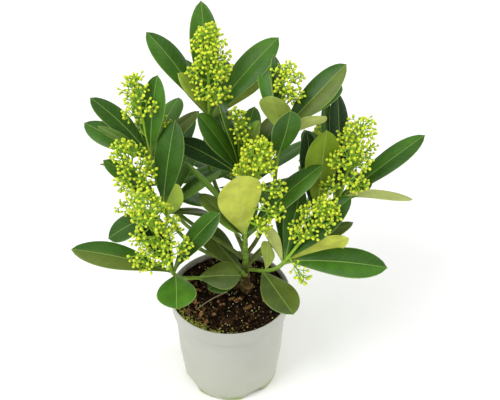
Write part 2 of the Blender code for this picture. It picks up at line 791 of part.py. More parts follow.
def keep_largest(mesh):
    """Drop every closed shell but the largest: loose scraps and sealed hollows."""
    work = bmesh.new()
    work.from_mesh(mesh)
    work.verts.ensure_lookup_table()
    unseen = set(work.verts)
    groups = []
    while unseen:
        start = unseen.pop()
        group, edge = {start}, [start]
        while edge:
            vertex = edge.pop()
            for link in vertex.link_edges:
                other = link.other_vert(vertex)
                if other in unseen:
                    unseen.discard(other)
                    group.add(other)
                    edge.append(other)
        groups.append(group)
    groups.sort(key=len)
    scraps = [vertex for group in groups[:-1] for vertex in group]
    bmesh.ops.delete(work, geom=scraps, context="VERTS")
    work.to_mesh(mesh)
    bmesh.ops.dissolve_limit(work, angle_limit=math.radians(FLAT_ANGLE), verts=work.verts, edges=work.edges)
    bmesh.ops.triangulate(work, faces=work.faces)
    if all(len(edge.link_faces) == 2 for edge in work.edges):
        work.to_mesh(mesh)
    work.free()


def fuse(name, shapes):
    """Join closed shapes into one solid with a single Boolean union on a collection."""
    base = mesh_object(name, shapes[0])
    if len(shapes) == 1:
        return base
    tools = bpy.data.collections.new(name + "_pieces")
    bpy.context.scene.collection.children.link(tools)
    for index, shape in enumerate(shapes[1:]):
        piece = mesh_object(f"{name}_piece_{index}", shape)
        bpy.context.scene.collection.objects.unlink(piece)
        tools.objects.link(piece)
    union = base.modifiers.new("Union", "BOOLEAN")
    union.operation = "UNION"
    union.operand_type = "COLLECTION"
    union.collection = tools
    union.solver = "EXACT"
    graph = bpy.context.evaluated_depsgraph_get()
    joined = bpy.data.meshes.new_from_object(base.evaluated_get(graph))
    base.modifiers.remove(union)
    base.data = joined
    for piece in list(tools.objects):
        bpy.data.objects.remove(piece)
    bpy.data.collections.remove(tools)
    keep_largest(joined)
    return base


def dress(made, finish):
    """Give an object its own material and smooth its rounded faces."""
    made.data.materials.clear()
    made.data.materials.append(finish_material(made.name, finish))
    made.data.shade_smooth()
    made.data.set_sharp_from_angle(angle=math.radians(SMOOTH_BELOW))


def clear_scene():
    """Remove whatever the scene holds."""
    for item in list(bpy.data.objects):
        bpy.data.objects.remove(item, do_unlink=True)


def main():
    """Build the pot, the soil, the stems and the shoots."""
    clear_scene()
    dress(mesh_object("pot", pot_solid()), "pot")
    dress(mesh_object("soil", soil_solid()), "soil")
    for name, shapes in grow().items():
        if name.startswith("shoot"):
            dress(fuse(name, shapes), "shoot")
        elif name == "main_stem":
            dress(fuse(name, shapes), "bark")
        else:
            dress(fuse(name, shapes), "green_bark")


main()
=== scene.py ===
"""Looks of a potted skimmia: leaves, flower heads, stems, soil, pot and a plain studio.

Shapes are worked out in millimetres and turned into metres as each mesh is made. +Z is up,
-Y is the front, and the origin is the centre of the pot's flat underside. The shrub grows by
the same seeded rule as its solids, so each fine leaf and bud stands where its solid does.
"""
import logging
import math
import random
from collections.abc import Callable, Sequence
from dataclasses import dataclass, field, fields, replace
from enum import Enum
from functools import lru_cache

import bpy
import numpy as np
from mathutils import Matrix, Vector
from mathutils.bvhtree import BVHTree


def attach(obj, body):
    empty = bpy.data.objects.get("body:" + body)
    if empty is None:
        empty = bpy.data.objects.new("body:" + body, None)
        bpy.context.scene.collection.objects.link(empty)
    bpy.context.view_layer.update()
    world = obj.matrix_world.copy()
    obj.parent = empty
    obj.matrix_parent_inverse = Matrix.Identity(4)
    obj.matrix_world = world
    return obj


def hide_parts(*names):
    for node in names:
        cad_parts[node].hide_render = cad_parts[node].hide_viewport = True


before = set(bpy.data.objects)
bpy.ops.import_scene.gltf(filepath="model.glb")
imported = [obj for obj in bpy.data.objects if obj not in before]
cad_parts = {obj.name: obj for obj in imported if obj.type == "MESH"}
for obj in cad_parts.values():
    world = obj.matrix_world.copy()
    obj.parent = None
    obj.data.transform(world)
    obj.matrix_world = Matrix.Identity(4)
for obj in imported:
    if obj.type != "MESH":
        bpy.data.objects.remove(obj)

log = logging.getLogger("skimmia")

MM = 0.001
GAP = 0.3
GOLDEN_ANGLE = 137.508
UPWARD = np.array([0.0, 0.0, 1.0])
SIDE_HINT = (0.37, 0.81, 0.45)
SOIL_LEVEL = 102.0

# The solids' limbs
STEM_SIDES, STEM_RINGS, STEM_CROWDING, STEM_STEPS = 8, 11, 1.25, 200
STEM_PATH = ((15.0, 13.0, SOIL_LEVEL + GAP), (16.0, 13.5, 122.0), (15.5, 7.0, 146.0),
             (15.2, -1.2, 173.6))
STEM_FOOT_RADIUS, STEM_TIP_RADIUS = 4.2, 2.6
FLARE_RADIUS, FLARE_HEIGHT, FLARE_LOBES, FLARE_LOBE_DEPTH = 4.0, 4.5, 3, 0.25
BOUGH_SIDES, BOUGH_RINGS, BOUGH_FOOT_RADIUS, BOUGH_TIP_RADIUS = 6, 7, 2.1, 1.8
BOUGH_RISE, BOUGH_BEND = 38.0, 0.36
SEAT_POINTS, SEAT_STEPS = 24, 6
SHOOT_SIDES, SHOOT_RINGS, SHOOT_FOOT_RADIUS, SHOOT_TOP_RADIUS = 6, 5, 1.8, 2.3

# The solids' leaves
CROWN_TOP, CROWN_SPREAD, CROWN_STEP, CROWN_STEPS, LOWEST_LEAF = 3.0, 9.0, 2.7, 4, 2.5
LEAF_STATIONS = (0.0, 0.14, 0.36, 0.62, 0.86, 1.0)
LEAF_SIDES, LEAF_THICKNESS, LEAF_ROOT = 4, 1.3, 1.7
LEAF_BASE_POWER, LEAF_TIP_POWER = 1.25, 0.72
LEAF_CLEARANCE, LEAF_ARCH, LEAF_FOLD, LEAF_LEAN = 1.0, 22.0, 12.0, 0.6
NUDGES, SHRINKS = (4, 8, 12), (1.0, 0.9, 0.8)
SPARE_TRIES, SPARE_TURN, SPARE_APART = 40, 50.0, 30.0
SPARE_LENGTH, SPARE_WIDTH, SPARE_RISE = (70.0, 88.0), (23.0, 29.0), (12.0, 48.0)
SPARE_ROLL, SPARE_ARCH = (-14.0, 14.0), (14.0, 34.0)

# The solids' flower heads
HEAD_BRANCHES, HEAD_AXIS_RADIUS, HEAD_BRANCH_RADIUS, HEAD_SIDES = 10, 1.2, 0.75, 3
CLUSTER_RADIUS, CLUSTER_SIDES, CLUSTER_NECK, CLUSTER_WAIST, CLUSTER_SHARE = 7.4, 4, 1.75, 0.75, 0.45
HEAD_FOOT, HEAD_TOP, HEAD_AXIS_SHARE, HEAD_TAPER = 0.14, 0.93, 0.92, 0.5
HEAD_TILT, HEAD_VARIES, TIP_CLUSTER = (0.25, 0.9), (0.88, 1.12), (8.0, 12.0, 0.8)

NO_TRIS = np.zeros((0, 3), int)

# Short names for types
Array = np.ndarray
Draw = np.random.Generator
Node = bpy.types.Node
Socket = bpy.types.NodeSocket
Material = bpy.types.Material
Piece = bpy.types.Object
Shape = tuple[Array, Sequence[Sequence[int]]]
Colour = tuple[int, int, int]


class Seat(Enum):
    """What carries a shoot: its own bough, the main stem's side or the main stem's tip."""

    BOUGH = "bough"
    SIDE = "side"
    TIP = "tip"


class Tone(Enum):
    """Base colours of leaf blades, as red, green and blue from 0 to 255; some also paint light and
    shade.
    """

    DEEP = (48, 86, 20)
    # A darker green, which on the leaves behind the flower heads is painted shade.
    DARK = (30, 60, 22)
    MID = (66, 108, 26)
    FRESH = (60, 104, 24)
    # A lighter green, which on some leaves is painted light that they catch.
    LIGHT = (96, 132, 44)
    YOUNG = (146, 168, 60)
    # These two olive tones are partly the leaves' own olive tint and partly painted sheen: the grey
    # gloss on a leaf's upper face or on one half of it.
    OLIVE = (90, 108, 40)
    DULL = (76, 94, 44)
    UNDER = (148, 166, 72)
    # A lit copy of the underside tone: painted light on undersides that catch it.
    GLOW = (198, 206, 84)
    LIME = (120, 146, 34)
    SAGE = (172, 182, 100)


@dataclass(frozen=True)
class Leaf:
    """One leaf.

    Attributes:
        bearing: Way of its chord from +X, in degrees.
        rise: Rise of its chord above level, in degrees.
        length: Length of the chord.
        width: Greatest width.
        roll: Right-hand turn about the chord, in degrees.
        arch: How far it bends over along its length, in degrees.
        drop: How far below the crown it starts.
        tone: Base colour of its upper face.
        half: Base colour of the upper face's left half, or None where it is the same; a half of its own
            tone is painted light and shade, one side of the fold lit or shaded more than the other.
        under: Base colour of its underside.
    """

    bearing: float
    rise: float
    length: float
    width: float
    roll: float = 0.0
    arch: float = LEAF_ARCH
    drop: float = 0.0
    tone: Tone = Tone.DEEP
    half: Tone | None = None
    under: Tone = Tone.UNDER


@dataclass(frozen=True)
class Lobe:
    """A long lower branch of a flower head, which stands out of the cone."""

    place: float
    bearing: float
    rise: float
    length: float


@dataclass(frozen=True)
class Shoot:
    """A leafy shoot.

    Attributes:
        name: The node that it stands for.
        crown: Where its leaves end and its head starts.
        lean: Bearing and rise of its head's axis, in degrees.
        stem: Length of its own stem, where a bough carries it.
        head: Length and radius of its flower head, or nothing.
        leaves: Its set leaves.
        lobes: Long branches of its head.
        spare: Number of leaves that the rule adds.
        spare_arc: Bearings that those may take, in degrees.
        infill: Leaves behind its head that only the looks have; their dark tone is painted shade.
        fine_lobes: Long branches of its head that only the looks have.
        joins: Place on the main stem where it, or its bough, leaves.
        foot_way: Bearing and rise of its stem's foot, in degrees.
        seat: What carries it.
        seed: Source of its irregularities.
        bud_gap: Least distance between the centres of its buds.
        point: Power that draws its head's outline in towards the top.
        bare_front: Share of its head, from the foot, that has no buds on its front side.
        bow: How far its head's axis bows back in its lower part.
    """

    name: str
    crown: tuple[float, float, float]
    lean: tuple[float, float]
    stem: float
    head: tuple[float, ...]
    leaves: tuple[Leaf, ...]
    lobes: tuple[Lobe, ...] = ()
    spare: int = 3
    spare_arc: tuple[float, float] = (15.0, 165.0)
    infill: tuple[Leaf, ...] = ()
    fine_lobes: tuple[Lobe, ...] = ()
    joins: float = 0.5
    foot_way: tuple[float, float] | None = None
    seat: Seat = Seat.BOUGH
    seed: int = 1
    bud_gap: float = 3.2
    point: float = 0.6
    bare_front: float = 0.0
    bow: float = 0.0


SHOOTS = (
    Shoot(
        "shoot_front", (15, -5, 186), (45, 78), 0.0, (110, 32), seed=5, seat=Seat.TIP,
        leaves=(
            Leaf(-119, 83, 83, 44, 58, 26, tone=Tone.MID, under=Tone.GLOW),
            Leaf(150, 46, 98, 27, 50, under=Tone.LIGHT),
            Leaf(26, 41, 105, 28, 11, half=Tone.MID),
            Leaf(-157, 53, 50, 20, tone=Tone.LIGHT),
            Leaf(140, 30, 62, 22, tone=Tone.OLIVE),
        ),
        lobes=(Lobe(0.30, -20, 12, 36), Lobe(0.16, -35, 10, 26)),
        spare=1, bare_front=0.5, bow=4.6,
        fine_lobes=(Lobe(0.5, -5, 14, 33),),
    ),
    Shoot(
        "shoot_low_left", (-54, -30, 164), (160, 72), 41.0, (100, 33), seed=4,
        foot_way=(-145, 39), joins=0.22,
        leaves=(
            Leaf(17, 52, 78, 29, 17, tone=Tone.FRESH, half=Tone.DEEP),
            Leaf(177, 15, 100, 28, -21, tone=Tone.OLIVE, half=Tone.DEEP),
            Leaf(-86, 13, 62, 37, -10, tone=Tone.MID, half=Tone.FRESH),
            Leaf(-2, 6, 43, 29, 28, 22, 36.0, tone=Tone.OLIVE, half=Tone.DULL),
        ),
        lobes=(Lobe(0.24, -150, 20, 38), Lobe(0.3, -20, 30, 34), Lobe(0.12, -170, 0, 34)),
        spare=1, bud_gap=3.8,
        # Painted shade: these leaves' dark tone stands for the shade behind the head.
        infill=(Leaf(119, 10, 86, 32, 6, drop=3.0, tone=Tone.DARK),
                Leaf(100, 21, 84, 30, -6, drop=6.0, tone=Tone.DARK)),
    ),
    Shoot(
        "shoot_low_right", (53, -15, 163), (8, 58), 0.0, (86, 31), seed=9,
        foot_way=(-28, 24), joins=0.46, seat=Seat.SIDE,
        leaves=(
            Leaf(64, 70, 76, 21, -6),
            Leaf(21, 50, 93, 29, 5),
            Leaf(26, 17, 82, 26, -20, tone=Tone.DULL, half=Tone.OLIVE),
            Leaf(-3, 31, 76, 24, -85, tone=Tone.MID, under=Tone.GLOW),
            Leaf(-14, 8, 100, 32, 28, half=Tone.FRESH),
            Leaf(148, 60, 58, 18, 68, under=Tone.SAGE),
            Leaf(-66, 4, 72, 33, 22, 22, 36.0, tone=Tone.OLIVE, half=Tone.DULL),
            Leaf(11, 84, 38, 18, 38, 22, 30.0, tone=Tone.OLIVE, half=Tone.LIGHT),
        ),
        lobes=(Lobe(0.1, -55, -22, 32), Lobe(0.12, -35, -25, 34)),
        spare=1, bare_front=0.42,
    ),
    Shoot(
        "shoot_mid_left", (-63, 14, 204), (165, 60), 24.0, (84, 31), seed=3, joins=0.44,
        leaves=(
            Leaf(67, 68, 90, 31, 31),
            Leaf(34, 15, 78, 26, half=Tone.LIGHT),
            Leaf(26, -19, 48, 23, tone=Tone.OLIVE),
            Leaf(3, 72, 40, 26, 49, tone=Tone.YOUNG),
            Leaf(-164, -23, 60, 31, -16),
        ),
        lobes=(Lobe(0.12, -165, 5, 42),),
        spare=2, bud_gap=3.5, bare_front=0.3,
        # Painted shade: this leaf's dark tone stands for the shade behind the head.
        infill=(Leaf(116, 2, 80, 30, 0, drop=6.0, tone=Tone.DARK),),
    ),
    Shoot(
        "shoot_right", (106, 28, 207), (30, 75), 42.0, (92, 28), seed=8, joins=0.6,
        foot_way=(20, 28),
        leaves=(
            Leaf(92, 55, 102, 21, 4, tone=Tone.DARK),
            Leaf(102, 55, 96, 25, 11),
            Leaf(21, 32, 107, 25, 13, tone=Tone.FRESH, half=Tone.DEEP),
            Leaf(14, 31, 44, 23, tone=Tone.MID),
            Leaf(-29, 21, 80, 23, -50, tone=Tone.MID, under=Tone.SAGE),
            Leaf(100, 59, 84, 22, 0, 22, 31.0, tone=Tone.DARK),
            Leaf(79, 78, 90, 35, 168, 14, 27.0, tone=Tone.MID, under=Tone.LIME),
        ),
        lobes=(Lobe(0.14, -160, 10, 24), Lobe(0.2, -30, 20, 28)),
        spare=2, bud_gap=3.6, point=0.35,
    ),
    Shoot(
        "shoot_upper_left", (-74, 42, 247), (128, 74), 26.0, (88, 24), seed=2, joins=0.7,
        leaves=(
            Leaf(62, 73, 84, 28, 36, half=Tone.FRESH),
            Leaf(153, 38, 82, 24, -17),
            Leaf(150, 12, 80, 25, -23, tone=Tone.FRESH, half=Tone.DEEP),
            Leaf(176, 46, 70, 18, 47, under=Tone.LIGHT),
            Leaf(32, 31, 63, 19, 10, tone=Tone.OLIVE),
        ),
        lobes=(Lobe(0.3, 20, 25, 26),),
        spare=2, bud_gap=3.4, point=0.25,
        fine_lobes=(Lobe(0.62, -45, 30, 24), Lobe(0.35, -45, 40, 20), Lobe(0.45, -160, 25, 27)),
    ),
    Shoot(
        "shoot_centre", (10, 36, 231), (100, 76), 24.0, (70, 18), seed=6, joins=0.97,
        leaves=(
            Leaf(174, 60, 78, 29, -34, half=Tone.MID),
            Leaf(163, 24, 70, 25, -23, tone=Tone.DARK),
            Leaf(134, 66, 88, 27, 20, tone=Tone.MID),
            Leaf(40, 42, 82, 28, 24, tone=Tone.OLIVE, half=Tone.DEEP),
            Leaf(45, 67, 58, 25, 11, tone=Tone.LIGHT, half=Tone.OLIVE),
        ),
        spare=2,
    ),
    Shoot(
        "shoot_upper_right", (47, 35, 280), (74, 75), 26.0, (70, 26), seed=7, joins=0.8,
        leaves=(
            # Painted light: its light tone stands for the light shining through it from behind.
            Leaf(-121, 73, 54, 30, 9, tone=Tone.LIGHT),
            Leaf(20, 45, 92, 29, 33, half=Tone.OLIVE),
            Leaf(-20, 39, 58, 22, -41, tone=Tone.MID, under=Tone.SAGE),
            Leaf(100, 73, 82, 24, 33),
            Leaf(-66, 71, 70, 28, 184, 22, 24.0, half=Tone.FRESH),
        ),
        spare=2, spare_arc=(40.0, 110.0), point=0.45,
    ),
    Shoot(
        "shoot_top", (-19, 62, 281), (88, 78), 28.0, (92, 29), seed=11, joins=0.84,
        foot_way=(-60, 74),
        leaves=(
            Leaf(97, 59, 107, 29, 14, tone=Tone.MID),
            Leaf(146, 45, 99, 27, -20, tone=Tone.FRESH, half=Tone.DEEP),
            Leaf(33, 39, 102, 31, 23, tone=Tone.MID, half=Tone.FRESH),
            Leaf(24, 32, 65, 20, -68, tone=Tone.LIGHT),
            # Painted light: its pale tone and its lit underside stand for the light that this leaf
            # catches.
            Leaf(-179, 60, 55, 20, -27, tone=Tone.YOUNG, under=Tone.GLOW),
        ),
    ),
    Shoot(
        "shoot_foot", (13, -1, 135), (-100, 60), 0.0, (), seed=15,
        foot_way=(-100, 30), joins=0.36, seat=Seat.SIDE,
        leaves=(
            Leaf(136, 25, 66, 27, 8, tone=Tone.OLIVE, half=Tone.DULL),
            Leaf(-162, -14, 44, 24),
        ),
        spare=0,
    ),
    *(Shoot(name, crown, lean, 24.0, (74, 22), (), spare=7, spare_arc=(-180.0, 180.0),
            joins=joins, seed=seed)
      for name, crown, lean, joins, seed in (
          ("shoot_back_left", (-66, 84, 184), (128, 70), 0.37, 12),
          ("shoot_back", (16, 94, 168), (88, 70), 0.31, 13),
          ("shoot_back_right", (84, 84, 180), (48, 70), 0.51, 14))),
)


def linear(colour: Sequence[float]) -> Array:
    """Turn a display colour from 0 to 255 into linear light: ((c + 0.055) / 1.055) ^ 2.4."""
    return ((np.asarray(colour, float) / 255.0 + 0.055) / 1.055) ** 2.4


def rgba(colour: Sequence[float]) -> tuple[float, ...]:
    """A display colour as an opaque colour in linear light."""
    return (*linear(colour), 1.0)


def mixed(share: Array, first: Array, second: Array) -> Array:
    """Blend two colours: first (1 - share) + second share."""
    return first * (1 - share) + second * share


def direction(bearing: float, rise: float) -> Array:
    """Unit vector at a bearing from +X and a rise above level, both in degrees."""
    flat = math.cos(math.radians(rise))
    angle = math.radians(bearing)
    return np.array([flat * math.cos(angle), flat * math.sin(angle), math.sin(math.radians(rise))])


def unit(vector: Array) -> Array:
    """The vector at length 1, or each row of an array at length 1."""
    return vector / np.linalg.norm(vector, axis=-1, keepdims=True)


def turned(vector: Array, axis: Array, degrees: float) -> Array:
    """Turn a vector about a unit axis: v cos a + (k x v) sin a + k (k . v) (1 - cos a)."""
    angle = math.radians(degrees)
    across = np.cross(axis, vector)
    along = axis * np.dot(axis, vector)
    return vector * math.cos(angle) + across * math.sin(angle) + along * (1.0 - math.cos(angle))


def bezier(points: Sequence[Array], count: int) -> Array:
    """Points on a cubic Bezier curve at even steps of its parameter.

    Args:
        points: The curve's four knots.
        count: How many points to give.

    Returns:
        An array of count points: a(1-t)^3 + 3bt(1-t)^2 + 3ct^2(1-t) + dt^3.
    """
    t = np.linspace(0.0, 1.0, count)[:, None]
    a, b, c, d = (np.array(point, float) for point in points)
    return a * (1 - t) ** 3 + 3 * b * t * (1 - t) ** 2 + 3 * c * t ** 2 * (1 - t) + d * t ** 3


def smooth_path(points: Sequence[Sequence[float]], count: int) -> Array:
    """Points at even steps along the Catmull-Rom spline through a few knots.

    Args:
        points: The knots that the curve passes through.
        count: How many points to give.

    Returns:
        An array of count points.
    """
    knots = np.array(points, float)
    padded = np.vstack([2 * knots[0] - knots[1], knots, 2 * knots[-1] - knots[-2]])
    places = np.linspace(0.0, len(knots) - 1.0, count)
    spans = np.minimum(places.astype(int), len(knots) - 2)
    t = (places - spans)[:, None]
    p0, p1, p2, p3 = (padded[spans + k] for k in range(4))
    return 0.5 * (2 * p1 + (p2 - p0) * t + (2 * p0 - 5 * p1 + 4 * p2 - p3) * t ** 2
                  + (3 * p1 - p0 - 3 * p2 + p3) * t ** 3)


def smoothstep(low: float, high: float, value: Array) -> Array:
    """Ease from 0 at low to 1 at high: x^2 (3 - 2x), with x held between 0 and 1."""
    x = np.clip((value - low) / (high - low), 0.0, 1.0)
    return x * x * (3.0 - 2.0 * x)


def ring_angles(count: int) -> Array:
    """Angles of the corners of a closed ring, in radians."""
    return np.linspace(0.0, 2.0 * math.pi, count, endpoint=False)


def around(side: Array, other: Array, count: int) -> Array:
    """Ways to the corners of each row's ring: cos a side + sin a other."""
    angles = ring_angles(count)
    return (np.cos(angles)[None, :, None] * side[:, None, :]
            + np.sin(angles)[None, :, None] * other[:, None, :])


def tube_points(path: Array, radii: Array, foot_way: Array | None = None,
                tip_way: Array | None = None) -> Array:
    """Points of a tube: centre(s) + r(s, a) (cos a side + sin a other), turning as little as it can.

    Args:
        path: Centres, one for each row.
        radii: Radius for each row and column.
        foot_way: The way that the first ring faces, where it isn't the path's own.
        tip_way: The way that the last ring faces, where it isn't the path's own.

    Returns:
        The points row by row, then the first and the last centre.
    """
    tangents = unit(np.gradient(path, axis=0))
    if foot_way is not None:
        tangents[0] = foot_way
    if tip_way is not None:
        tangents[-1] = tip_way
    sides = [unit(np.cross(tangents[0], SIDE_HINT))]
    for tangent in tangents:
        sides.append(unit(sides[-1] - tangent * np.dot(sides[-1], tangent)))
    side = np.array(sides[1:])
    ways = around(side, np.cross(tangents, side), radii.shape[1])
    rings = path[:, None, :] + radii[:, :, None] * ways
    return np.vstack([rings.reshape(-1, 3), path[:1], path[-1:]])


def grid_quads(rows: int, columns: int) -> Array:
    """Faces of a grid of closed rings, whose vertex (i, j) is number i * columns + j."""
    i, j = np.arange(rows - 1)[:, None] * columns, np.arange(columns)[None, :]
    after = (j + 1) % columns
    return np.stack([i + j, i + after, i + columns + after, i + columns + j], axis=-1).reshape(-1, 4)


def caps(rows: int, columns: int, flipped: bool = False) -> Array:
    """Triangles that close a grid of rings, to the two vertices that follow it.

    Args:
        rows: Number of rows.
        columns: Number of columns.
        flipped: Whether the grid's own faces are turned round.

    Returns:
        An array of three vertex numbers a face.
    """
    here, after = np.arange(columns), (np.arange(columns) + 1) % columns
    count = rows * columns
    last = count - columns
    foot = np.stack([after, here, np.full(columns, count)], axis=-1)
    tip = np.stack([last + here, last + after, np.full(columns, count + 1)], axis=-1)
    faces = np.vstack([foot, tip])
    return faces[:, [1, 0, 2]] if flipped else faces


# The solids' rule, written again so that the fine pieces stand where the solids do


def tube_solid(path: Array, radii: Sequence, sides: int, foot_way: Array | None = None,
               tip_way: Array | None = None) -> Shape:
    """A closed tube with the given radii along a path.

    Args:
        path: Centres of its rings.
        radii: One radius for each ring, or one for each corner of each ring.
        sides: How many corners a ring has.
        foot_way: The way that the first ring faces.
        tip_way: The way that the last ring faces.

    Returns:
        Its vertices and triangles.
    """
    rows = len(path)
    radii = np.broadcast_to(np.reshape(radii, (rows, -1)), (rows, sides))
    triangles = grid_quads(rows, sides)[:, [0, 1, 2, 0, 2, 3]].reshape(-1, 3)
    faces = np.vstack([triangles, caps(rows, sides)]).tolist()
    return tube_points(path, radii, foot_way, tip_way), faces


def leaf_axes(leaf: Leaf, lean: Array) -> tuple[Array, Array, Array]:
    """The way a leaf's chord runs, the way its upper face looks and the way to its left edge."""
    chord = direction(leaf.bearing, leaf.rise)
    lift = unit(LEAF_LEAN * lean + (1.0 - LEAF_LEAN) * UPWARD)
    normal = unit(lift - chord * np.dot(lift, chord))
    normal = turned(normal, chord, leaf.roll)
    return chord, normal, np.cross(chord, normal)


def leaf_outline(along: Array, base_power: float, tip_power: float) -> Array:
    """Half width along a leaf as a share of its greatest: s^a (1 - s)^b over its greatest value."""
    peak = base_power / (base_power + tip_power)
    greatest = peak ** base_power * (1.0 - peak) ** tip_power
    return along ** base_power * (1.0 - along) ** tip_power / greatest


def leaf_solid(leaf: Leaf, root: Array, lean: Array, extra: float = 0.0) -> Shape:
    """A leaf as the thin closed solid of the source, or grown by an extra all round.

    Args:
        leaf: The leaf.
        root: Where its chord starts.
        lean: The way its shoot's head leans.
        extra: How much it is grown.

    Returns:
        Its vertices and triangles, four vertices to a station and one at the tip.
    """
    chord, normal, side = leaf_axes(leaf, lean)
    stations = np.array(LEAF_STATIONS)
    bend = np.radians(leaf.arch) * (0.5 - stations)
    steps = np.diff(stations, prepend=0.0) * leaf.length
    middle = (bend + np.concatenate([bend[:1], bend[:-1]])) / 2.0
    spine = root + np.cumsum(steps[:, None] * (np.cos(middle)[:, None] * chord
                                               + np.sin(middle)[:, None] * normal), axis=0)
    upright = np.cos(bend)[:, None] * normal - np.sin(bend)[:, None] * chord
    shape = leaf_outline(stations, LEAF_BASE_POWER, LEAF_TIP_POWER)
    half = np.maximum(shape * leaf.width / 2.0, LEAF_ROOT) + extra
    raised = np.maximum(half - LEAF_ROOT, 0.0) * math.tan(math.radians(LEAF_FOLD))
    thick = LEAF_THICKNESS / 2.0 + extra
    left = spine + half[:, None] * side + raised[:, None] * upright
    right = spine - half[:, None] * side + raised[:, None] * upright
    count = len(stations) - 1
    rings = np.stack([left, spine + thick * upright, right, spine - thick * upright], axis=1)
    vertices = np.vstack([rings[:count].reshape(-1, 3), spine[-1:] + chord * extra])
    tip = len(vertices) - 1
    faces = [(0, 2, 1), (0, 3, 2)]
    for ring in range(count - 1):
        a = ring * LEAF_SIDES
        b = a + LEAF_SIDES
        faces += [(a, a + 1, b + 1), (a, b + 1, b)]
        faces += [(a + 1, a + 2, b + 1), (a + 2, b + 2, b + 1)]
        faces += [(a + 2, a + 3, b + 3), (a + 2, b + 3, b + 2)]
        faces += [(a + 3, a, b + 3), (a, b, b + 3)]
    a = (count - 1) * LEAF_SIDES
    faces += [(a + k, a + (k + 1) % LEAF_SIDES, tip) for k in range(LEAF_SIDES)]
    return vertices, faces


def outer_part(shape: Shape) -> Shape:
    """The part of a leaf's solid beyond its stalk, where it should not cross its neighbours."""
    vertices, faces = shape
    first = LEAF_SIDES * 2
    kept = [tuple(index - first for index in face) for face in faces if min(face) >= first]
    return vertices[first:], kept


@dataclass(frozen=True)
class Branch:
    """A branch of a flower head.

    Attributes:
        root: Where it leaves the head's axis.
        way: The way that it runs.
        reach: Length to the end of its cluster.
        size: Radius of its cluster.
        loose: Whether it stands out of the head's cone.
    """

    root: Array
    way: Array
    reach: float
    size: float
    loose: bool = False

    def solid(self) -> Shape:
        """The source's solid: a branch that widens into a cluster of buds at its end."""
        places = (0.0, self.reach - CLUSTER_NECK * self.size, self.reach - CLUSTER_WAIST * self.size)
        path = np.array([self.root + self.way * place for place in places])
        radii = (HEAD_BRANCH_RADIUS, HEAD_BRANCH_RADIUS, self.size)
        vertices, faces = tube_solid(path, radii, CLUSTER_SIDES)
        vertices[-1] = self.root + self.way * self.reach
        return vertices, faces


def tree_of(shape: Shape) -> BVHTree:
    """A search tree of a shape's faces."""
    return BVHTree.FromPolygons(shape[0].tolist(), shape[1])


class Space:
    """What has been placed, so that a new piece can be kept clear of it."""

    def __init__(self) -> None:
        """Start with nothing placed."""
        self.placed: list[tuple] = []

    def add(self, owner: str, part: str, shape: Shape) -> None:
        """Remember a placed shape, with the node that owns it and the kind of part it is."""
        self.placed.append((owner, part, tree_of(shape), shape[0].min(axis=0), shape[0].max(axis=0)))

    def touches(self, owner: str, shape: Shape, own: bool = False) -> bool:
        """Whether a shape meets other nodes' pieces or, with own set, its own node's outer ones.

        Args:
            owner: The node that the shape belongs to.
            shape: The shape.
            own: Whether it is held against its own node's pieces.

        Returns:
            Whether it meets one.
        """
        tree, low, high = tree_of(shape), shape[0].min(axis=0), shape[0].max(axis=0)
        return any((other == owner) == own and (part == "outer") == own
                   and (low <= other_high).all() and (high >= other_low).all() and tree.overlap(placed)
                   for other, part, placed, other_low, other_high in self.placed)


def stem_taper(place: float | Array) -> float | Array:
    """Radius of the main stem above its flare, which falls evenly along its path."""
    return STEM_FOOT_RADIUS + (STEM_TIP_RADIUS - STEM_FOOT_RADIUS) * place


def stem_radii(places: Array, heights: Array, columns: int) -> Array:
    """Radii of the main stem: its taper, and a flare F exp(-h / H) (1 + d cos n a) over the soil.

    Args:
        places: Share of the path for each row.
        heights: Height of each row.
        columns: Corners of a ring.

    Returns:
        Radius for each row and column.
    """
    flare = FLARE_RADIUS * np.exp(-np.maximum(0.0, heights - STEM_PATH[0][2]) / FLARE_HEIGHT)
    lobes = 1.0 + FLARE_LOBE_DEPTH * np.cos(FLARE_LOBES * ring_angles(columns))
    return stem_taper(places)[:, None] + flare[:, None] * lobes


@lru_cache(maxsize=1)
def main_stem_solid() -> Shape:
    """The main stem, from a flat cut on the soil with a root flare, to its tip."""
    places = np.linspace(0.0, 1.0, STEM_RINGS) ** STEM_CROWDING
    path = smooth_path(STEM_PATH, STEM_STEPS + 1)[np.round(places * STEM_STEPS).astype(int)]
    tip_way = unit(np.subtract(STEM_PATH[-1], STEM_PATH[-2]))
    radii = stem_radii(places, path[:, 2], STEM_SIDES)
    return tube_solid(path, radii, STEM_SIDES, foot_way=UPWARD, tip_way=tip_way)


def foot_on_stem(place: float, toward: Array, rise: float,
                 foot_radius: float) -> tuple[Array, Array]:
    """Where a limb leaves the main stem's side, a gap clear of the bark.

    Args:
        place: Share of the main stem's path.
        toward: The point that the limb heads for.
        rise: The limb's rise as it leaves, in degrees.
        foot_radius: The limb's radius there.

    Returns:
        Its foot and the way that it leaves.
    """
    centre = smooth_path(STEM_PATH, STEM_STEPS + 1)[round(place * STEM_STEPS)]
    flat = toward - centre
    bearing = math.degrees(math.atan2(flat[1], flat[0]))
    leaving, outward = direction(bearing, rise), direction(bearing, 0.0)
    side = np.cross(outward, UPWARD)
    up = np.cross(side, leaving)
    bark = tree_of(main_stem_solid())
    ring = foot_radius * around(side[None], up[None], SEAT_POINTS)[0]
    offset = stem_taper(place) + foot_radius
    for _ in range(SEAT_STEPS):
        clear = min(bark.find_nearest(tuple(point))[3] for point in centre + outward * offset + ring)
        offset -= clear - GAP
    return centre + outward * offset, leaving


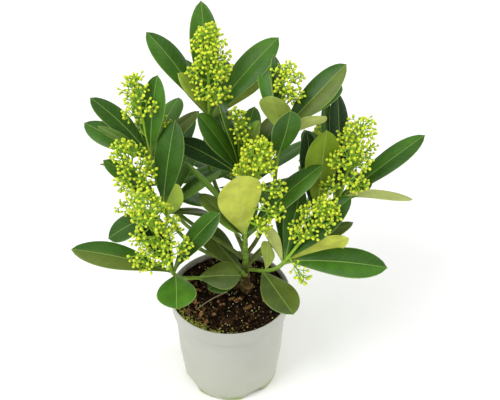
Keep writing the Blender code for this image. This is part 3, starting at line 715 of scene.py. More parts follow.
@lru_cache(maxsize=None)
def shoot_frame(shoot: Shoot) -> tuple[Array, Array, Array, Array]:
    """Where a shoot's stem starts, the way it leaves there, its head's lean and its crown."""
    lean = direction(*shoot.lean)
    crown = np.array(shoot.crown, float)
    if shoot.seat is Seat.SIDE:
        start, way = foot_on_stem(shoot.joins, crown, shoot.foot_way[1], SHOOT_FOOT_RADIUS)
        return start, way, lean, crown
    if shoot.seat is Seat.TIP:
        below, tip = (np.array(point) for point in STEM_PATH[-2:])
        way = unit(tip - below)
        return tip + way * GAP, way, lean, crown
    way = direction(*shoot.foot_way) if shoot.foot_way else lean
    return crown - way * (shoot.stem - GAP), way, lean, crown


def shoot_knots(shoot: Shoot) -> tuple[Array, ...]:
    """The four Bezier knots of a shoot's stem."""
    start, way, lean, crown = shoot_frame(shoot)
    reach = np.linalg.norm(crown - start) / 3.0
    return start, start + way * reach, crown - lean * reach, crown + lean * CROWN_TOP


def bough_knots(shoot: Shoot) -> tuple[Array, ...]:
    """The four Bezier knots of the bough that carries a shoot."""
    start, way, _, _ = shoot_frame(shoot)
    seat = start - way * GAP
    foot, leaving = foot_on_stem(shoot.joins, seat, BOUGH_RISE, BOUGH_FOOT_RADIUS)
    reach = np.linalg.norm(seat - foot) * BOUGH_BEND
    return foot, foot + leaving * reach, seat - way * reach, seat


def cone_branch(shoot: Shoot, place: float, angle: float, stretch: float,
                tilt: float = 1.0) -> tuple[Array, Array, float]:
    """One branch of a flower head's cone.

    Args:
        shoot: The shoot that bears the head.
        place: Share of the head's axis where it leaves.
        angle: Its turn about the axis, in degrees.
        stretch: Its length, as a share of the cone's radius there.
        tilt: How much it leans along the axis.

    Returns:
        Its root, its way and its length.
    """
    length, radius = shoot.head
    _, _, lean, crown = shoot_frame(shoot)
    outward = turned(unit(np.cross(lean, SIDE_HINT)), lean, angle)
    way = unit(outward + lean * (HEAD_TILT[0] + HEAD_TILT[1] * place) * tilt)
    root = crown + lean * length * place * HEAD_AXIS_SHARE
    return root, way, radius * (1.0 - HEAD_TAPER * place ** 2) * stretch


def head_branches(shoot: Shoot) -> list[Branch]:
    """Every branch that a shoot's flower head may have, its tip cluster first."""
    if not shoot.head:
        return []
    _, _, lean, crown = shoot_frame(shoot)
    draw = random.Random(shoot.seed)
    below, reach, share = TIP_CLUSTER
    tip = crown + lean * (shoot.head[0] - CLUSTER_RADIUS)
    found = [Branch(tip - lean * below, lean, reach, CLUSTER_RADIUS * share)]
    for k in range(HEAD_BRANCHES):
        place = HEAD_FOOT + (HEAD_TOP - HEAD_FOOT) * k / (HEAD_BRANCHES - 1)
        root, way, reach = cone_branch(shoot, place, k * GOLDEN_ANGLE, draw.uniform(*HEAD_VARIES))
        found.append(Branch(root, way, reach, min(CLUSTER_RADIUS, reach * CLUSTER_SHARE)))
    return found + long_branches(shoot, shoot.lobes)


def long_branches(shoot: Shoot, lobes: Sequence[Lobe]) -> list[Branch]:
    """The branches that stand out of a head's cone.

    Args:
        shoot: The shoot that bears the head.
        lobes: What is known of each branch.

    Returns:
        One branch for each.
    """
    _, _, lean, crown = shoot_frame(shoot)
    along = lean * shoot.head[0] * HEAD_AXIS_SHARE
    return [Branch(crown + along * lobe.place, direction(lobe.bearing, lobe.rise), lobe.length,
                   min(CLUSTER_RADIUS, lobe.length * CLUSTER_SHARE), loose=True) for lobe in lobes]


@dataclass
class Spray:
    """What the rule placed on one shoot: its flower branches, and each leaf with its root."""

    shoot: Shoot
    branches: list[Branch] = field(default_factory=list)
    leaves: list[tuple[Leaf, Array]] = field(default_factory=list)


class GrowingRule:
    """The seeded rule that places flower branches and leaves clear of one another."""

    def __init__(self) -> None:
        """Start with an empty space and a bare spray for each shoot."""
        self.space = Space()
        self.sprays = {shoot.name: Spray(shoot) for shoot in SHOOTS}
        self.paths: dict[str, Array] = {}

    def grow(self) -> list[Spray]:
        """Place limbs, then flower branches, then the set leaves, then the spare ones."""
        self.place_limbs()
        for shoot in SHOOTS:
            for branch in head_branches(shoot):
                solid = branch.solid()
                if not self.space.touches(shoot.name, solid):
                    self.space.add(shoot.name, "head", solid)
                    self.sprays[shoot.name].branches.append(branch)
        for shoot in SHOOTS:
            for index, leaf in enumerate(shoot.leaves):
                drop = leaf.drop or index % CROWN_STEPS * CROWN_STEP
                self.place_leaf(shoot, replace(leaf, drop=drop))
        for shoot in SHOOTS:
            self.add_spare_leaves(shoot)
        for shoot in SHOOTS:
            for leaf in shoot.infill:
                self.place_leaf(shoot, leaf)
        return list(self.sprays.values())

    def place_limbs(self) -> None:
        """Put the main stem, the boughs, the shoots' stems and their heads' axes in the space."""
        self.space.add("main_stem", "limb", main_stem_solid())
        for shoot in SHOOTS:
            if shoot.seat is Seat.BOUGH:
                knots = bough_knots(shoot)
                radii = np.linspace(BOUGH_FOOT_RADIUS, BOUGH_TIP_RADIUS, BOUGH_RINGS)
                way = shoot_frame(shoot)[1]
                solid = tube_solid(bezier(knots, BOUGH_RINGS), radii, BOUGH_SIDES,
                                   foot_way=unit(knots[1] - knots[0]), tip_way=way)
                self.space.add(shoot.name.replace("shoot", "bough"), "limb", solid)
        for shoot in SHOOTS:
            _, way, lean, crown = shoot_frame(shoot)
            path = bezier(shoot_knots(shoot), SHOOT_RINGS)
            self.paths[shoot.name] = path
            radii = np.linspace(SHOOT_FOOT_RADIUS, SHOOT_TOP_RADIUS, SHOOT_RINGS)
            self.space.add(shoot.name, "limb", tube_solid(path, radii, SHOOT_SIDES, foot_way=way))
            if shoot.head:
                path = np.linspace(crown, crown + lean * (shoot.head[0] - CLUSTER_RADIUS), 4)
                radii = np.linspace(HEAD_AXIS_RADIUS, HEAD_BRANCH_RADIUS, 4)
                self.space.add(shoot.name, "limb", tube_solid(path, radii, HEAD_SIDES))

    def place_leaf(self, shoot: Shoot, leaf: Leaf) -> Leaf | None:
        """Put a leaf on its stem, turned or shortened a little where it would touch something.

        Args:
            shoot: The shoot that bears it.
            leaf: The leaf as it is wanted.

        Returns:
            The leaf as it was placed, or None where it had no room.
        """
        lean = shoot_frame(shoot)[2]
        path = self.paths[shoot.name]
        lengths = np.linalg.norm(np.diff(path, axis=0), axis=1)
        travelled = np.concatenate([[0.0], np.cumsum(lengths)])
        along = max(travelled[-1] - CROWN_TOP - leaf.drop, LOWEST_LEAF)
        root = np.array([np.interp(along, travelled, path[:, k]) for k in range(3)])
        nudges = [(0, 0)]
        for size in NUDGES:
            nudges += [(size, 0), (-size, 0), (0, size), (0, -size), (size, size), (-size, size)]
        for shrink in SHRINKS:
            for turn, raise_by in nudges:
                tried = replace(leaf, bearing=leaf.bearing + turn, rise=leaf.rise + raise_by,
                                length=leaf.length * shrink, width=leaf.width * shrink ** 0.5)
                generous = leaf_solid(tried, root, lean, LEAF_CLEARANCE)
                if self.space.touches(shoot.name, generous):
                    continue
                if self.space.touches(shoot.name, outer_part(generous), own=True):
                    continue
                solid = leaf_solid(tried, root, lean)
                self.space.add(shoot.name, "leaf", solid)
                self.space.add(shoot.name, "outer", outer_part(solid))
                self.sprays[shoot.name].leaves.append((tried, root))
                return tried
        return None

    def add_spare_leaves(self, shoot: Shoot) -> None:
        """Add leaves at golden-angle bearings within an arc, clear of those already there."""
        draw = random.Random(shoot.seed * 101)
        added = 0
        first, last = shoot.spare_arc
        for k in range(SPARE_TRIES):
            if added == shoot.spare:
                break
            bearing = first + (k * GOLDEN_ANGLE + SPARE_TURN * shoot.seed) % (last - first)
            leaf = Leaf(bearing, draw.uniform(*SPARE_RISE), draw.uniform(*SPARE_LENGTH),
                        draw.uniform(*SPARE_WIDTH), draw.uniform(*SPARE_ROLL),
                        draw.uniform(*SPARE_ARCH), draw.uniform(0.0, CROWN_SPREAD),
                        tone=(Tone.DEEP, Tone.MID, Tone.FRESH)[k % 3])
            way = direction(leaf.bearing, leaf.rise)
            closest = math.cos(math.radians(SPARE_APART))
            near = any(np.dot(way, direction(other.bearing, other.rise)) > closest
                       for other, _ in self.sprays[shoot.name].leaves)
            if not near and self.place_leaf(shoot, leaf):
                added += 1


# Meshes as whole arrays


def seated(piece: Piece, nodes: Sequence[str]) -> None:
    """Make a piece ride on the one body, and stand for the nodes that it replaces."""
    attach(piece, "root")
    if nodes:
        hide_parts(*nodes)


def linked(name: str, data: bpy.types.ID) -> Piece:
    """A new object with the given data, in the scene."""
    made = bpy.data.objects.new(name, data)
    bpy.context.scene.collection.objects.link(made)
    return made


@dataclass
class Surface:
    """A stretch of mesh as whole arrays.

    Attributes:
        points: Its vertices, in millimetres.
        quads: Its four-cornered faces, as rows of vertex numbers.
        tris: Its three-cornered faces, which take the first finish.
        tones: A base colour for each vertex, or for all, in linear light.
        across: Two numbers for each vertex, from -1 to 1 across and 0 to 1 along.
        spans: Units of 100 mm across and along for each vertex.
        slots: The finish of each quad.
    """

    points: Array
    quads: Array
    tris: Array
    tones: Array
    across: Array | None = None
    spans: Array | None = None
    slots: Array | None = None

    def __post_init__(self) -> None:
        """Spread one tone over all the vertices, and put zeros for what isn't given."""
        count = len(self.points)
        self.tones = np.broadcast_to(self.tones, (count, 3))
        self.across = np.zeros((count, 2)) if self.across is None else self.across
        self.spans = np.zeros((count, 2)) if self.spans is None else self.spans
        self.slots = np.zeros(len(self.quads), int) if self.slots is None else self.slots

    @staticmethod
    def joined(parts: Sequence["Surface"]) -> "Surface":
        """Many surfaces as one, with each part's vertex numbers moved along."""
        starts = np.cumsum([0] + [len(part.points) for part in parts[:-1]])
        moved = [replace(part, quads=part.quads + start, tris=part.tris + start)
                 for part, start in zip(parts, starts)]
        return Surface(*(np.concatenate([getattr(part, kind.name) for part in moved])
                         for kind in fields(Surface)))

    def as_piece(self, name: str, slot: str, nodes: Sequence[str], finishes: Sequence[Material],
                 sharp_above: float = 50.0) -> Piece:
        """Put the surface into a mesh object at the origin, seated on the body.

        Args:
            name: The object's name.
            slot: Not used; it names the part's material slot that it belongs to.
            nodes: The nodes that it replaces.
            finishes: Materials in the order of the slots.
            sharp_above: Edges that bend more than this many degrees stay sharp.

        Returns:
            The new object.
        """
        mesh = bpy.data.meshes.new(name)
        mesh.from_pydata((self.points * MM).tolist(), [], self.quads.tolist() + self.tris.tolist())
        corners = np.zeros(len(mesh.loops), int)
        mesh.loops.foreach_get("vertex_index", corners)
        for layer_name, values in (("blade", self.across), ("span", self.spans)):
            mesh.uv_layers.new(name=layer_name).data.foreach_set("uv", values[corners].ravel())
        tones = mesh.color_attributes.new("tone", "FLOAT_COLOR", "POINT")
        tones.data.foreach_set("color", np.column_stack([self.tones, np.ones(len(self.tones))]).ravel())
        for finish in finishes:
            mesh.materials.append(finish)
        slots = np.concatenate([self.slots, np.zeros(len(self.tris), int)])
        mesh.polygons.foreach_set("material_index", slots)
        mesh.shade_smooth()
        mesh.set_sharp_from_angle(angle=math.radians(sharp_above))
        piece = linked(name, mesh)
        seated(piece, nodes)
        return piece


def grid_pairs(across: Array, along: Array) -> Array:
    """Two numbers for each point of a grid: its column's, or its own, and its row's."""
    grid = np.broadcast_to(across, (len(along), np.shape(across)[-1]))
    return np.stack([grid, np.broadcast_to(along[:, None], grid.shape)], axis=-1).reshape(-1, 2)


def limb_surface(path: Array, radii: Array, tones: Array) -> Surface:
    """A tube that is closed at both ends.

    Args:
        path: Centres, one for each row.
        radii: Radius for each row and column.
        tones: Base colour for each row, or for each row and column.

    Returns:
        The tube, with its turn and its length as its maps.
    """
    rows, columns = radii.shape
    travelled = np.concatenate([[0.0], np.cumsum(np.linalg.norm(np.diff(path, axis=0), axis=1))])
    spans = grid_pairs(ring_angles(columns) / (2.0 * math.pi), travelled / 100.0)
    spans = np.vstack([spans, spans[:1], spans[-1:]])
    shades = np.broadcast_to(tones if tones.ndim == 3 else tones[:, None], (rows, columns, 3))
    shades = np.vstack([shades.reshape(-1, 3), shades[0, :1], shades[-1, :1]])
    return Surface(tube_points(path, radii), grid_quads(rows, columns), caps(rows, columns), shades,
                   spans, spans)


def plain_limb(path: Array, foot: float, tip: float, tone: Array) -> Surface:
    """A smooth six-sided tube of one colour, from its foot's radius to its tip's."""
    radii = np.repeat(np.linspace(foot, tip, len(path))[:, None], 6, axis=1)
    return limb_surface(path, radii, np.repeat(tone[None], len(path), axis=0))


def thin_tubes(starts: Array, ends: Array, radii: tuple[float, float], tones: Array,
               sides: int = 3, sag: float = 0.0) -> Surface:
    """Many straight or slightly bowed open tubes at once.

    Args:
        starts: Where each tube starts.
        ends: Where each tube ends.
        radii: Radius at the start and at the end.
        tones: Base colour of each tube.
        sides: Corners of a ring.
        sag: How far the middle is bowed sideways, as a share of the length.

    Returns:
        Three rings a tube, at shares 0, 1/2 and 1 of p(s) = start + s (end - start) + bow.
    """
    ways = ends - starts
    lengths = np.linalg.norm(ways, axis=1, keepdims=True)
    ways = ways / lengths
    side = unit(np.cross(ways, SIDE_HINT))
    other = np.cross(ways, side)
    shares = np.array([0.0, 0.5, 1.0])
    bow = sag * lengths[:, None] * 4.0 * (shares * (1.0 - shares))[None, :, None] * other[:, None, :]
    centres = starts[:, None, :] + (ends - starts)[:, None, :] * shares[None, :, None] + bow
    sizes = radii[0] + (radii[1] - radii[0]) * shares
    rings = centres[:, :, None, :] + sizes[None, :, None, None] * around(side, other, sides)[:, None]
    block = len(shares) * sides
    quads = grid_quads(len(shares), sides) + (np.arange(len(starts)) * block)[:, None, None]
    return Surface(rings.reshape(-1, 3), quads.reshape(-1, 4), NO_TRIS,
                   np.repeat(tones, block, axis=0))


def scattered(template: Array, quads: Array, tris: Array, places: Array,
              turns: Array, sizes: Array, tones: Array) -> Surface:
    """Copies of a small shape: place + turn (size * template).

    Args:
        template: Vertices of the shape at unit size, or one set for each copy.
        quads: Its quads.
        tris: Its triangles.
        places: Where each copy stands.
        turns: A 3 by 3 turn for each copy.
        sizes: Size of each copy along the shape's three axes.
        tones: Base colour of each copy, or of each vertex of each copy.

    Returns:
        All the copies as one surface.
    """
    count = len(places)
    shapes = np.broadcast_to(template, (count,) + template.shape[-2:]) * sizes[:, None, :]
    points = np.einsum("nij,nkj->nki", turns, shapes) + places[:, None, :]
    block = template.shape[-2]
    steps = (np.arange(count) * block)[:, None, None]
    shades = tones if tones.ndim == 3 else np.broadcast_to(tones[:, None, :], (count, block, 3))
    return Surface(points.reshape(-1, 3), (quads[None] + steps).reshape(-1, 4),
                   (tris[None] + steps).reshape(-1, 3), shades.reshape(-1, 3))


def turned_surface(radii: Array, heights: Array, ends: tuple[float, float], tone: Array,
                   flipped: bool = False) -> Surface:
    """A closed shape round the upright axis: (r cos a, r sin a, z).

    Args:
        radii: Radius for each row and column, or for each row.
        heights: Height for each row and column.
        ends: Heights of the two points on the axis that close it.
        tone: Its colour.
        flipped: Whether its rows run from the top down.

    Returns:
        The shape.
    """
    rows, columns = heights.shape
    angles = ring_angles(columns)
    points = np.stack([radii * np.cos(angles), radii * np.sin(angles), heights], axis=-1).reshape(-1, 3)
    points = np.vstack([points, *((0.0, 0.0, end) for end in ends)])
    quads = grid_quads(rows, columns)
    return Surface(points, quads[:, ::-1] if flipped else quads, caps(rows, columns, flipped), tone)


def turns_to(ways: Array) -> Array:
    """Turns that carry +Z to each of the given ways."""
    side = unit(np.cross(ways, SIDE_HINT))
    return np.stack([side, np.cross(ways, side), ways], axis=-1)


def random_turns(draw: Draw, count: int) -> Array:
    """Turns in every direction, from unit quaternions drawn at random."""
    w, x, y, z = unit(draw.normal(size=(count, 4))).T
    return np.stack([
        np.stack([1 - 2 * (y * y + z * z), 2 * (x * y - z * w), 2 * (x * z + y * w)], axis=-1),
        np.stack([2 * (x * y + z * w), 1 - 2 * (x * x + z * z), 2 * (y * z - x * w)], axis=-1),
        np.stack([2 * (x * z - y * w), 2 * (y * z + x * w), 1 - 2 * (x * x + y * y)], axis=-1),
    ], axis=1)


def bead(rings: int, sides: int) -> tuple[Array, Array, Array]:
    """A small round shape of radius 1: (sin a cos b, sin a sin b, cos a), closed at its poles."""
    heights = np.linspace(0.0, math.pi, rings + 2)[1:-1]
    turns = ring_angles(sides)
    ring = np.stack([np.outer(np.sin(heights), np.cos(turns)), np.outer(np.sin(heights), np.sin(turns)),
                     np.outer(np.cos(heights), np.ones(sides))], axis=-1).reshape(-1, 3)
    points = np.vstack([ring, (0.0, 0.0, 1.0), (0.0, 0.0, -1.0)])
    return points, grid_quads(rings, sides)[:, ::-1], caps(rings, sides, flipped=True)


# Finishes


class Graph:
    """A node tree that is being filled."""

    def __init__(self, tree: bpy.types.NodeTree) -> None:
        """Keep the tree that the nodes go into."""
        self.tree = tree

    def add(self, kind: str, **settings: object) -> Node:
        """Add a node of a kind and set its properties."""
        node = self.tree.nodes.new(kind)
        for name, value in settings.items():
            setattr(node, name, value)
        return node

    def put(self, socket: Socket, value: object) -> None:
        """Link a socket to another, or set its own value."""
        if isinstance(value, Socket):
            self.tree.links.new(value, socket)
        else:
            socket.default_value = value

    def maths(self, operation: str, *values: object) -> Socket:
        """A Math node on up to three sockets or numbers."""
        node = self.add("ShaderNodeMath", operation=operation)
        for socket, value in zip(node.inputs, values):
            self.put(socket, value)
        return node.outputs[0]

    def times(self, first: object, *others: object) -> Socket:
        """The product of sockets and numbers."""
        for other in others:
            first = self.maths("MULTIPLY", first, other)
        return first

    def ease(self, value: object, low: object, high: object, start: float = 0.0,
             end: float = 1.0) -> Socket:
        """Ease a value from start at low to end at high."""
        node = self.add("ShaderNodeMapRange", interpolation_type="SMOOTHSTEP")
        for socket, number in zip(node.inputs[:5], (value, low, high, start, end)):
            self.put(socket, number)
        return node.outputs[0]

    def blend(self, factor: object, first: object, second: object) -> Socket:
        """Mix two colours by a factor."""
        node = self.add("ShaderNodeMix", data_type="RGBA", clamp_factor=True)
        for index, value in ((0, factor), (6, first), (7, second)):
            self.put(node.inputs[index], value)
        return node.outputs[2]

    def noise(self, where: object, scale: object, detail: float = 3.0,
              roughness: float = 0.55) -> Socket:
        """A noise texture's value at a place."""
        node = self.add("ShaderNodeTexNoise")
        self.put(node.inputs["Vector"], where)
        self.put(node.inputs["Scale"], scale)
        node.inputs["Detail"].default_value = detail
        node.inputs["Roughness"].default_value = roughness
        return node.outputs["Fac"]

    def group(self, tree: bpy.types.NodeTree, **values: object) -> Node:
        """Place a node group with its own values; underscores stand for spaces in their names."""
        node = self.add("ShaderNodeGroup", node_tree=tree)
        for name, value in values.items():
            self.put(node.inputs[name.replace("_", " ")], value)
        return node


def new_group(name: str, inputs: dict[str, tuple[str, object]], outputs: dict[str, str]) -> tuple[
        bpy.types.NodeTree, Graph, Node, Node]:
    """Start a shader node group.

    Args:
        name: Its name.
        inputs: The kind and the default value of each input.
        outputs: The kind of each output.

    Returns:
        The group, its graph, its input node and its output node.
    """
    tree = bpy.data.node_groups.new(name, "ShaderNodeTree")
    for label, (kind, value) in inputs.items():
        socket = tree.interface.new_socket(label, in_out="INPUT", socket_type=kind)
        if value is not None:
            socket.default_value = value
    for label, kind in outputs.items():
        tree.interface.new_socket(label, in_out="OUTPUT", socket_type=kind)
    graph = Graph(tree)
    return tree, graph, graph.add("NodeGroupInput"), graph.add("NodeGroupOutput")


@lru_cache(maxsize=None)
def mottle_group() -> bpy.types.NodeTree:
    """Uneven colour: the base times a factor that noise moves between two values."""
    tree, graph, inputs, outputs = new_group(
        "uneven_colour",
        {"Place": ("NodeSocketVector", None), "Base": ("NodeSocketColor", None),
         "Scale": ("NodeSocketFloat", 60.0), "Low": ("NodeSocketFloat", 0.85),
         "High": ("NodeSocketFloat", 1.12)},
        {"Color": "NodeSocketColor", "Height": "NodeSocketFloat"})
    coarse = graph.noise(inputs.outputs["Place"], inputs.outputs["Scale"], 4.0)
    factor = graph.ease(coarse, 0.3, 0.7, inputs.outputs["Low"], inputs.outputs["High"])
    scaled = graph.add("ShaderNodeVectorMath", operation="SCALE")
    graph.put(scaled.inputs[0], inputs.outputs["Base"])
    graph.put(scaled.inputs["Scale"], factor)
    graph.put(outputs.inputs["Color"], scaled.outputs[0])
    graph.put(outputs.inputs["Height"], coarse)
    return tree


@lru_cache(maxsize=None)
def blade_lines_group() -> bpy.types.NodeTree:
    """Where a leaf's midrib, side veins and margin run, from its two maps.

    Blade runs from -1 to 1 across and 0 to 1 along; Span is in units of 100 mm. The side veins
    are bands of along - 0.9 |across| every 6 mm, and the midrib narrows towards the tip.
    """
    tree, graph, inputs, outputs = new_group(
        "blade_lines",
        {"Blade": ("NodeSocketVector", None), "Span": ("NodeSocketVector", None)},
        {"Midrib": "NodeSocketFloat", "Veins": "NodeSocketFloat", "Margin": "NodeSocketFloat"})
    blade = graph.add("ShaderNodeSeparateXYZ")
    graph.put(blade.inputs[0], inputs.outputs["Blade"])
    span = graph.add("ShaderNodeSeparateXYZ")
    graph.put(span.inputs[0], inputs.outputs["Span"])
    aside = graph.maths("ABSOLUTE", span.outputs[0])
    width = graph.maths("MULTIPLY_ADD", blade.outputs[1], -0.0055, 0.0085)
    midrib = graph.ease(aside, graph.times(width, 0.45), width, 1.0, 0.0)
    slanted = graph.maths("MULTIPLY_ADD", aside, -0.9, span.outputs[1])
    wave = graph.maths("PINGPONG", graph.times(slanted, 1.0 / 0.06), 0.5)
    bands = graph.ease(wave, 0.0, 0.09, 1.0, 0.0)
    outward = graph.maths("ABSOLUTE", blade.outputs[0])
    inside = graph.ease(outward, 0.72, 0.92, 1.0, 0.0)
    graph.put(outputs.inputs["Midrib"], midrib)
    graph.put(outputs.inputs["Veins"], graph.times(bands, inside))
    graph.put(outputs.inputs["Margin"], graph.ease(outward, 0.93, 0.99))
    return tree


def start_material(name: str, **sockets: object) -> tuple[Material, Graph, Node]:
    """A new material with its Principled shader, whose constants are set on its own sockets."""
    material = bpy.data.materials.new(name)
    material.use_nodes = True
    shader = material.node_tree.nodes["Principled BSDF"]
    for label, value in sockets.items():
        shader.inputs[label.replace("_", " ")].default_value = value
    return material, Graph(material.node_tree), shader


def lift(graph: Graph, shader: Node, height: object, strength: float, distance: float) -> None:
    """Feed a height to the shader's normal through a Bump node."""
    bump = graph.add("ShaderNodeBump")
    bump.inputs["Strength"].default_value = strength
    bump.inputs["Distance"].default_value = distance
    graph.put(bump.inputs["Height"], height)
    graph.put(shader.inputs["Normal"], bump.outputs[0])


def toned_material(name: str, gloss: float, roughness: float, scale: float, low: float,
                   high: float) -> tuple[Material, Graph, Node, Socket, Socket]:
    """Start a material whose colour is the mesh's tone, made uneven.

    Args:
        name: Its name.
        gloss: Strength of its reflection, where 0.5 is usual.
        roughness: Mean roughness.
        scale: Scale of the unevenness.
        low: Darkest share of the tone.
        high: Lightest share of the tone.

    Returns:
        The material, its graph and its shader, the place on the object and the uneven colour.
    """
    material, graph, shader = start_material(name, Specular_IOR_Level=gloss)
    place = graph.add("ShaderNodeTexCoord").outputs["Object"]
    tone = graph.add("ShaderNodeAttribute", attribute_name="tone").outputs["Color"]
    uneven = graph.group(mottle_group(), Place=place, Base=tone, Scale=scale, Low=low, High=high)
    rough = graph.maths("MULTIPLY_ADD", uneven.outputs["Height"], 0.2, roughness - 0.1)
    graph.put(shader.inputs["Roughness"], rough)
    return material, graph, shader, place, uneven.outputs["Color"]


@dataclass(frozen=True)
class BladeFinish:
    """A face of the leaves.

    The midrib has its own display colour. Each share says how much of that colour a line takes,
    and the relief is the strength of the veins, which are sunk where it is below 0.
    """

    name: str
    roughness: float
    midrib: Colour
    midrib_share: float
    vein_share: float
    margin_share: float
    relief: float

    def material(self) -> Material:
        """Make the material: the tone, uneven, with lines, over a leathery gloss."""
        material, graph, shader, place, colour = toned_material(
            self.name, 0.22, self.roughness, 70.0, 0.84, 1.14)
        blade = graph.add("ShaderNodeUVMap", uv_map="blade").outputs[0]
        span = graph.add("ShaderNodeUVMap", uv_map="span").outputs[0]
        lines = graph.group(blade_lines_group(), Blade=blade, Span=span).outputs
        for line, share in (("Veins", self.vein_share), ("Margin", self.margin_share),
                            ("Midrib", self.midrib_share)):
            colour = graph.blend(graph.times(lines[line], share), colour, rgba(self.midrib))
        graph.put(shader.inputs["Base Color"], colour)
        ridges = graph.maths("ADD", lines["Midrib"], graph.times(lines["Veins"], 0.45))
        fine = graph.times(graph.noise(place, 900.0, 2.0), 0.12)
        lift(graph, shader, graph.maths("MULTIPLY_ADD", ridges, self.relief, fine), 0.45, 0.0006)
        return material


@dataclass(frozen=True)
class TonedFinish:
    """A finish whose colour is the mesh's tone, made uneven.

    The unevenness has a scale and lies between a low and a high share of the tone. The relief has
    a strength and a grain, and the gloss is the strength of the reflection, where 0.5 is usual.
    """

    name: str
    roughness: float
    scale: float
    low: float
    high: float
    relief: float
    grain: float
    gloss: float = 0.2

    def material(self) -> Material:
        """Make the material."""
        material, graph, shader, place, colour = toned_material(
            self.name, self.gloss, self.roughness, self.scale, self.low, self.high)
        graph.put(shader.inputs["Base Color"], colour)
        lift(graph, shader, graph.noise(place, self.grain, 4.0, 0.6), self.relief, 0.0006)
        return material


@dataclass(frozen=True)
class PotFinish:
    """The pot's pale plastic, in display colours.

    Patches of algae stand at its foot under a green tint that fades upwards. Painted shade darkens
    the inner wall above the soil, in the greyish brown of the rare specks of soil that it also bears.
    """

    name: str = "pale_pot_plastic"
    plastic: Colour = (176, 177, 167)
    algae: Colour = (134, 152, 58)
    tint: Colour = (186, 194, 150)
    # Colour of the specks of soil, and of the painted shade on the inner wall.
    dirt: Colour = (120, 104, 78)

    def material(self) -> Material:
        """Make the material: each mark is a mask of height and noise over the plastic."""
        material, graph, shader = start_material(self.name, IOR=1.49)
        place = graph.add("ShaderNodeTexCoord").outputs["Object"]
        parts = graph.add("ShaderNodeSeparateXYZ")
        graph.put(parts.inputs[0], place)
        height = parts.outputs[2]
        uneven = graph.group(mottle_group(), Place=place, Base=rgba(self.plastic),
                             Scale=28.0, Low=0.965, High=1.02)
        patches = graph.ease(graph.noise(place, 45.0, 5.0, 0.65), 0.4, 0.55)
        low = graph.ease(height, 0.0015, 0.0085, 1.0, 0.0)
        wash = graph.ease(height, 0.0, 0.085, 0.2, 0.0)
        flat = graph.add("ShaderNodeVectorMath", operation="MULTIPLY")
        graph.put(flat.inputs[0], place)
        flat.inputs[1].default_value = (1.0, 1.0, 0.0)
        radius = graph.add("ShaderNodeVectorMath", operation="LENGTH")
        graph.put(radius.inputs[0], flat.outputs[0])
        wall = graph.maths("MULTIPLY_ADD", height, -0.1, radius.outputs["Value"])
        # Painted shade on the inner wall, from the soil up under the lip, broken up by noise.
        inner_wall_shade = graph.times(graph.ease(wall, 0.048, 0.0486, 1.0, 0.0), graph.ease(height, 0.097, 0.1),
                            graph.ease(height, 0.104, 0.108, 1.0, 0.25),
                            graph.ease(graph.noise(place, 120.0, 4.0), 0.3, 0.6), 0.85)
        specks = graph.add("ShaderNodeTexVoronoi")
        graph.put(specks.inputs["Vector"], place)
        specks.inputs["Scale"].default_value = 75.0
        dots = graph.ease(specks.outputs["Distance"], 0.03, 0.07, 1.0, 0.0)
        rare = graph.ease(graph.noise(place, 40.0, 1.0), 0.6, 0.66)
        colour = uneven.outputs["Color"]
        for mask, mark in ((graph.times(patches, low, 0.95), self.algae), (wash, self.tint),
                           (inner_wall_shade, self.dirt), (graph.times(dots, rare, 0.5), self.dirt)):
            colour = graph.blend(mask, colour, rgba(mark))
        graph.put(shader.inputs["Base Color"], colour)
        graph.put(shader.inputs["Roughness"], graph.maths("MULTIPLY_ADD", patches, 0.08, 0.42))
        lift(graph, shader, graph.noise(place, 260.0, 3.0), 0.12, 0.0004)
        return material


# Sub-assemblies


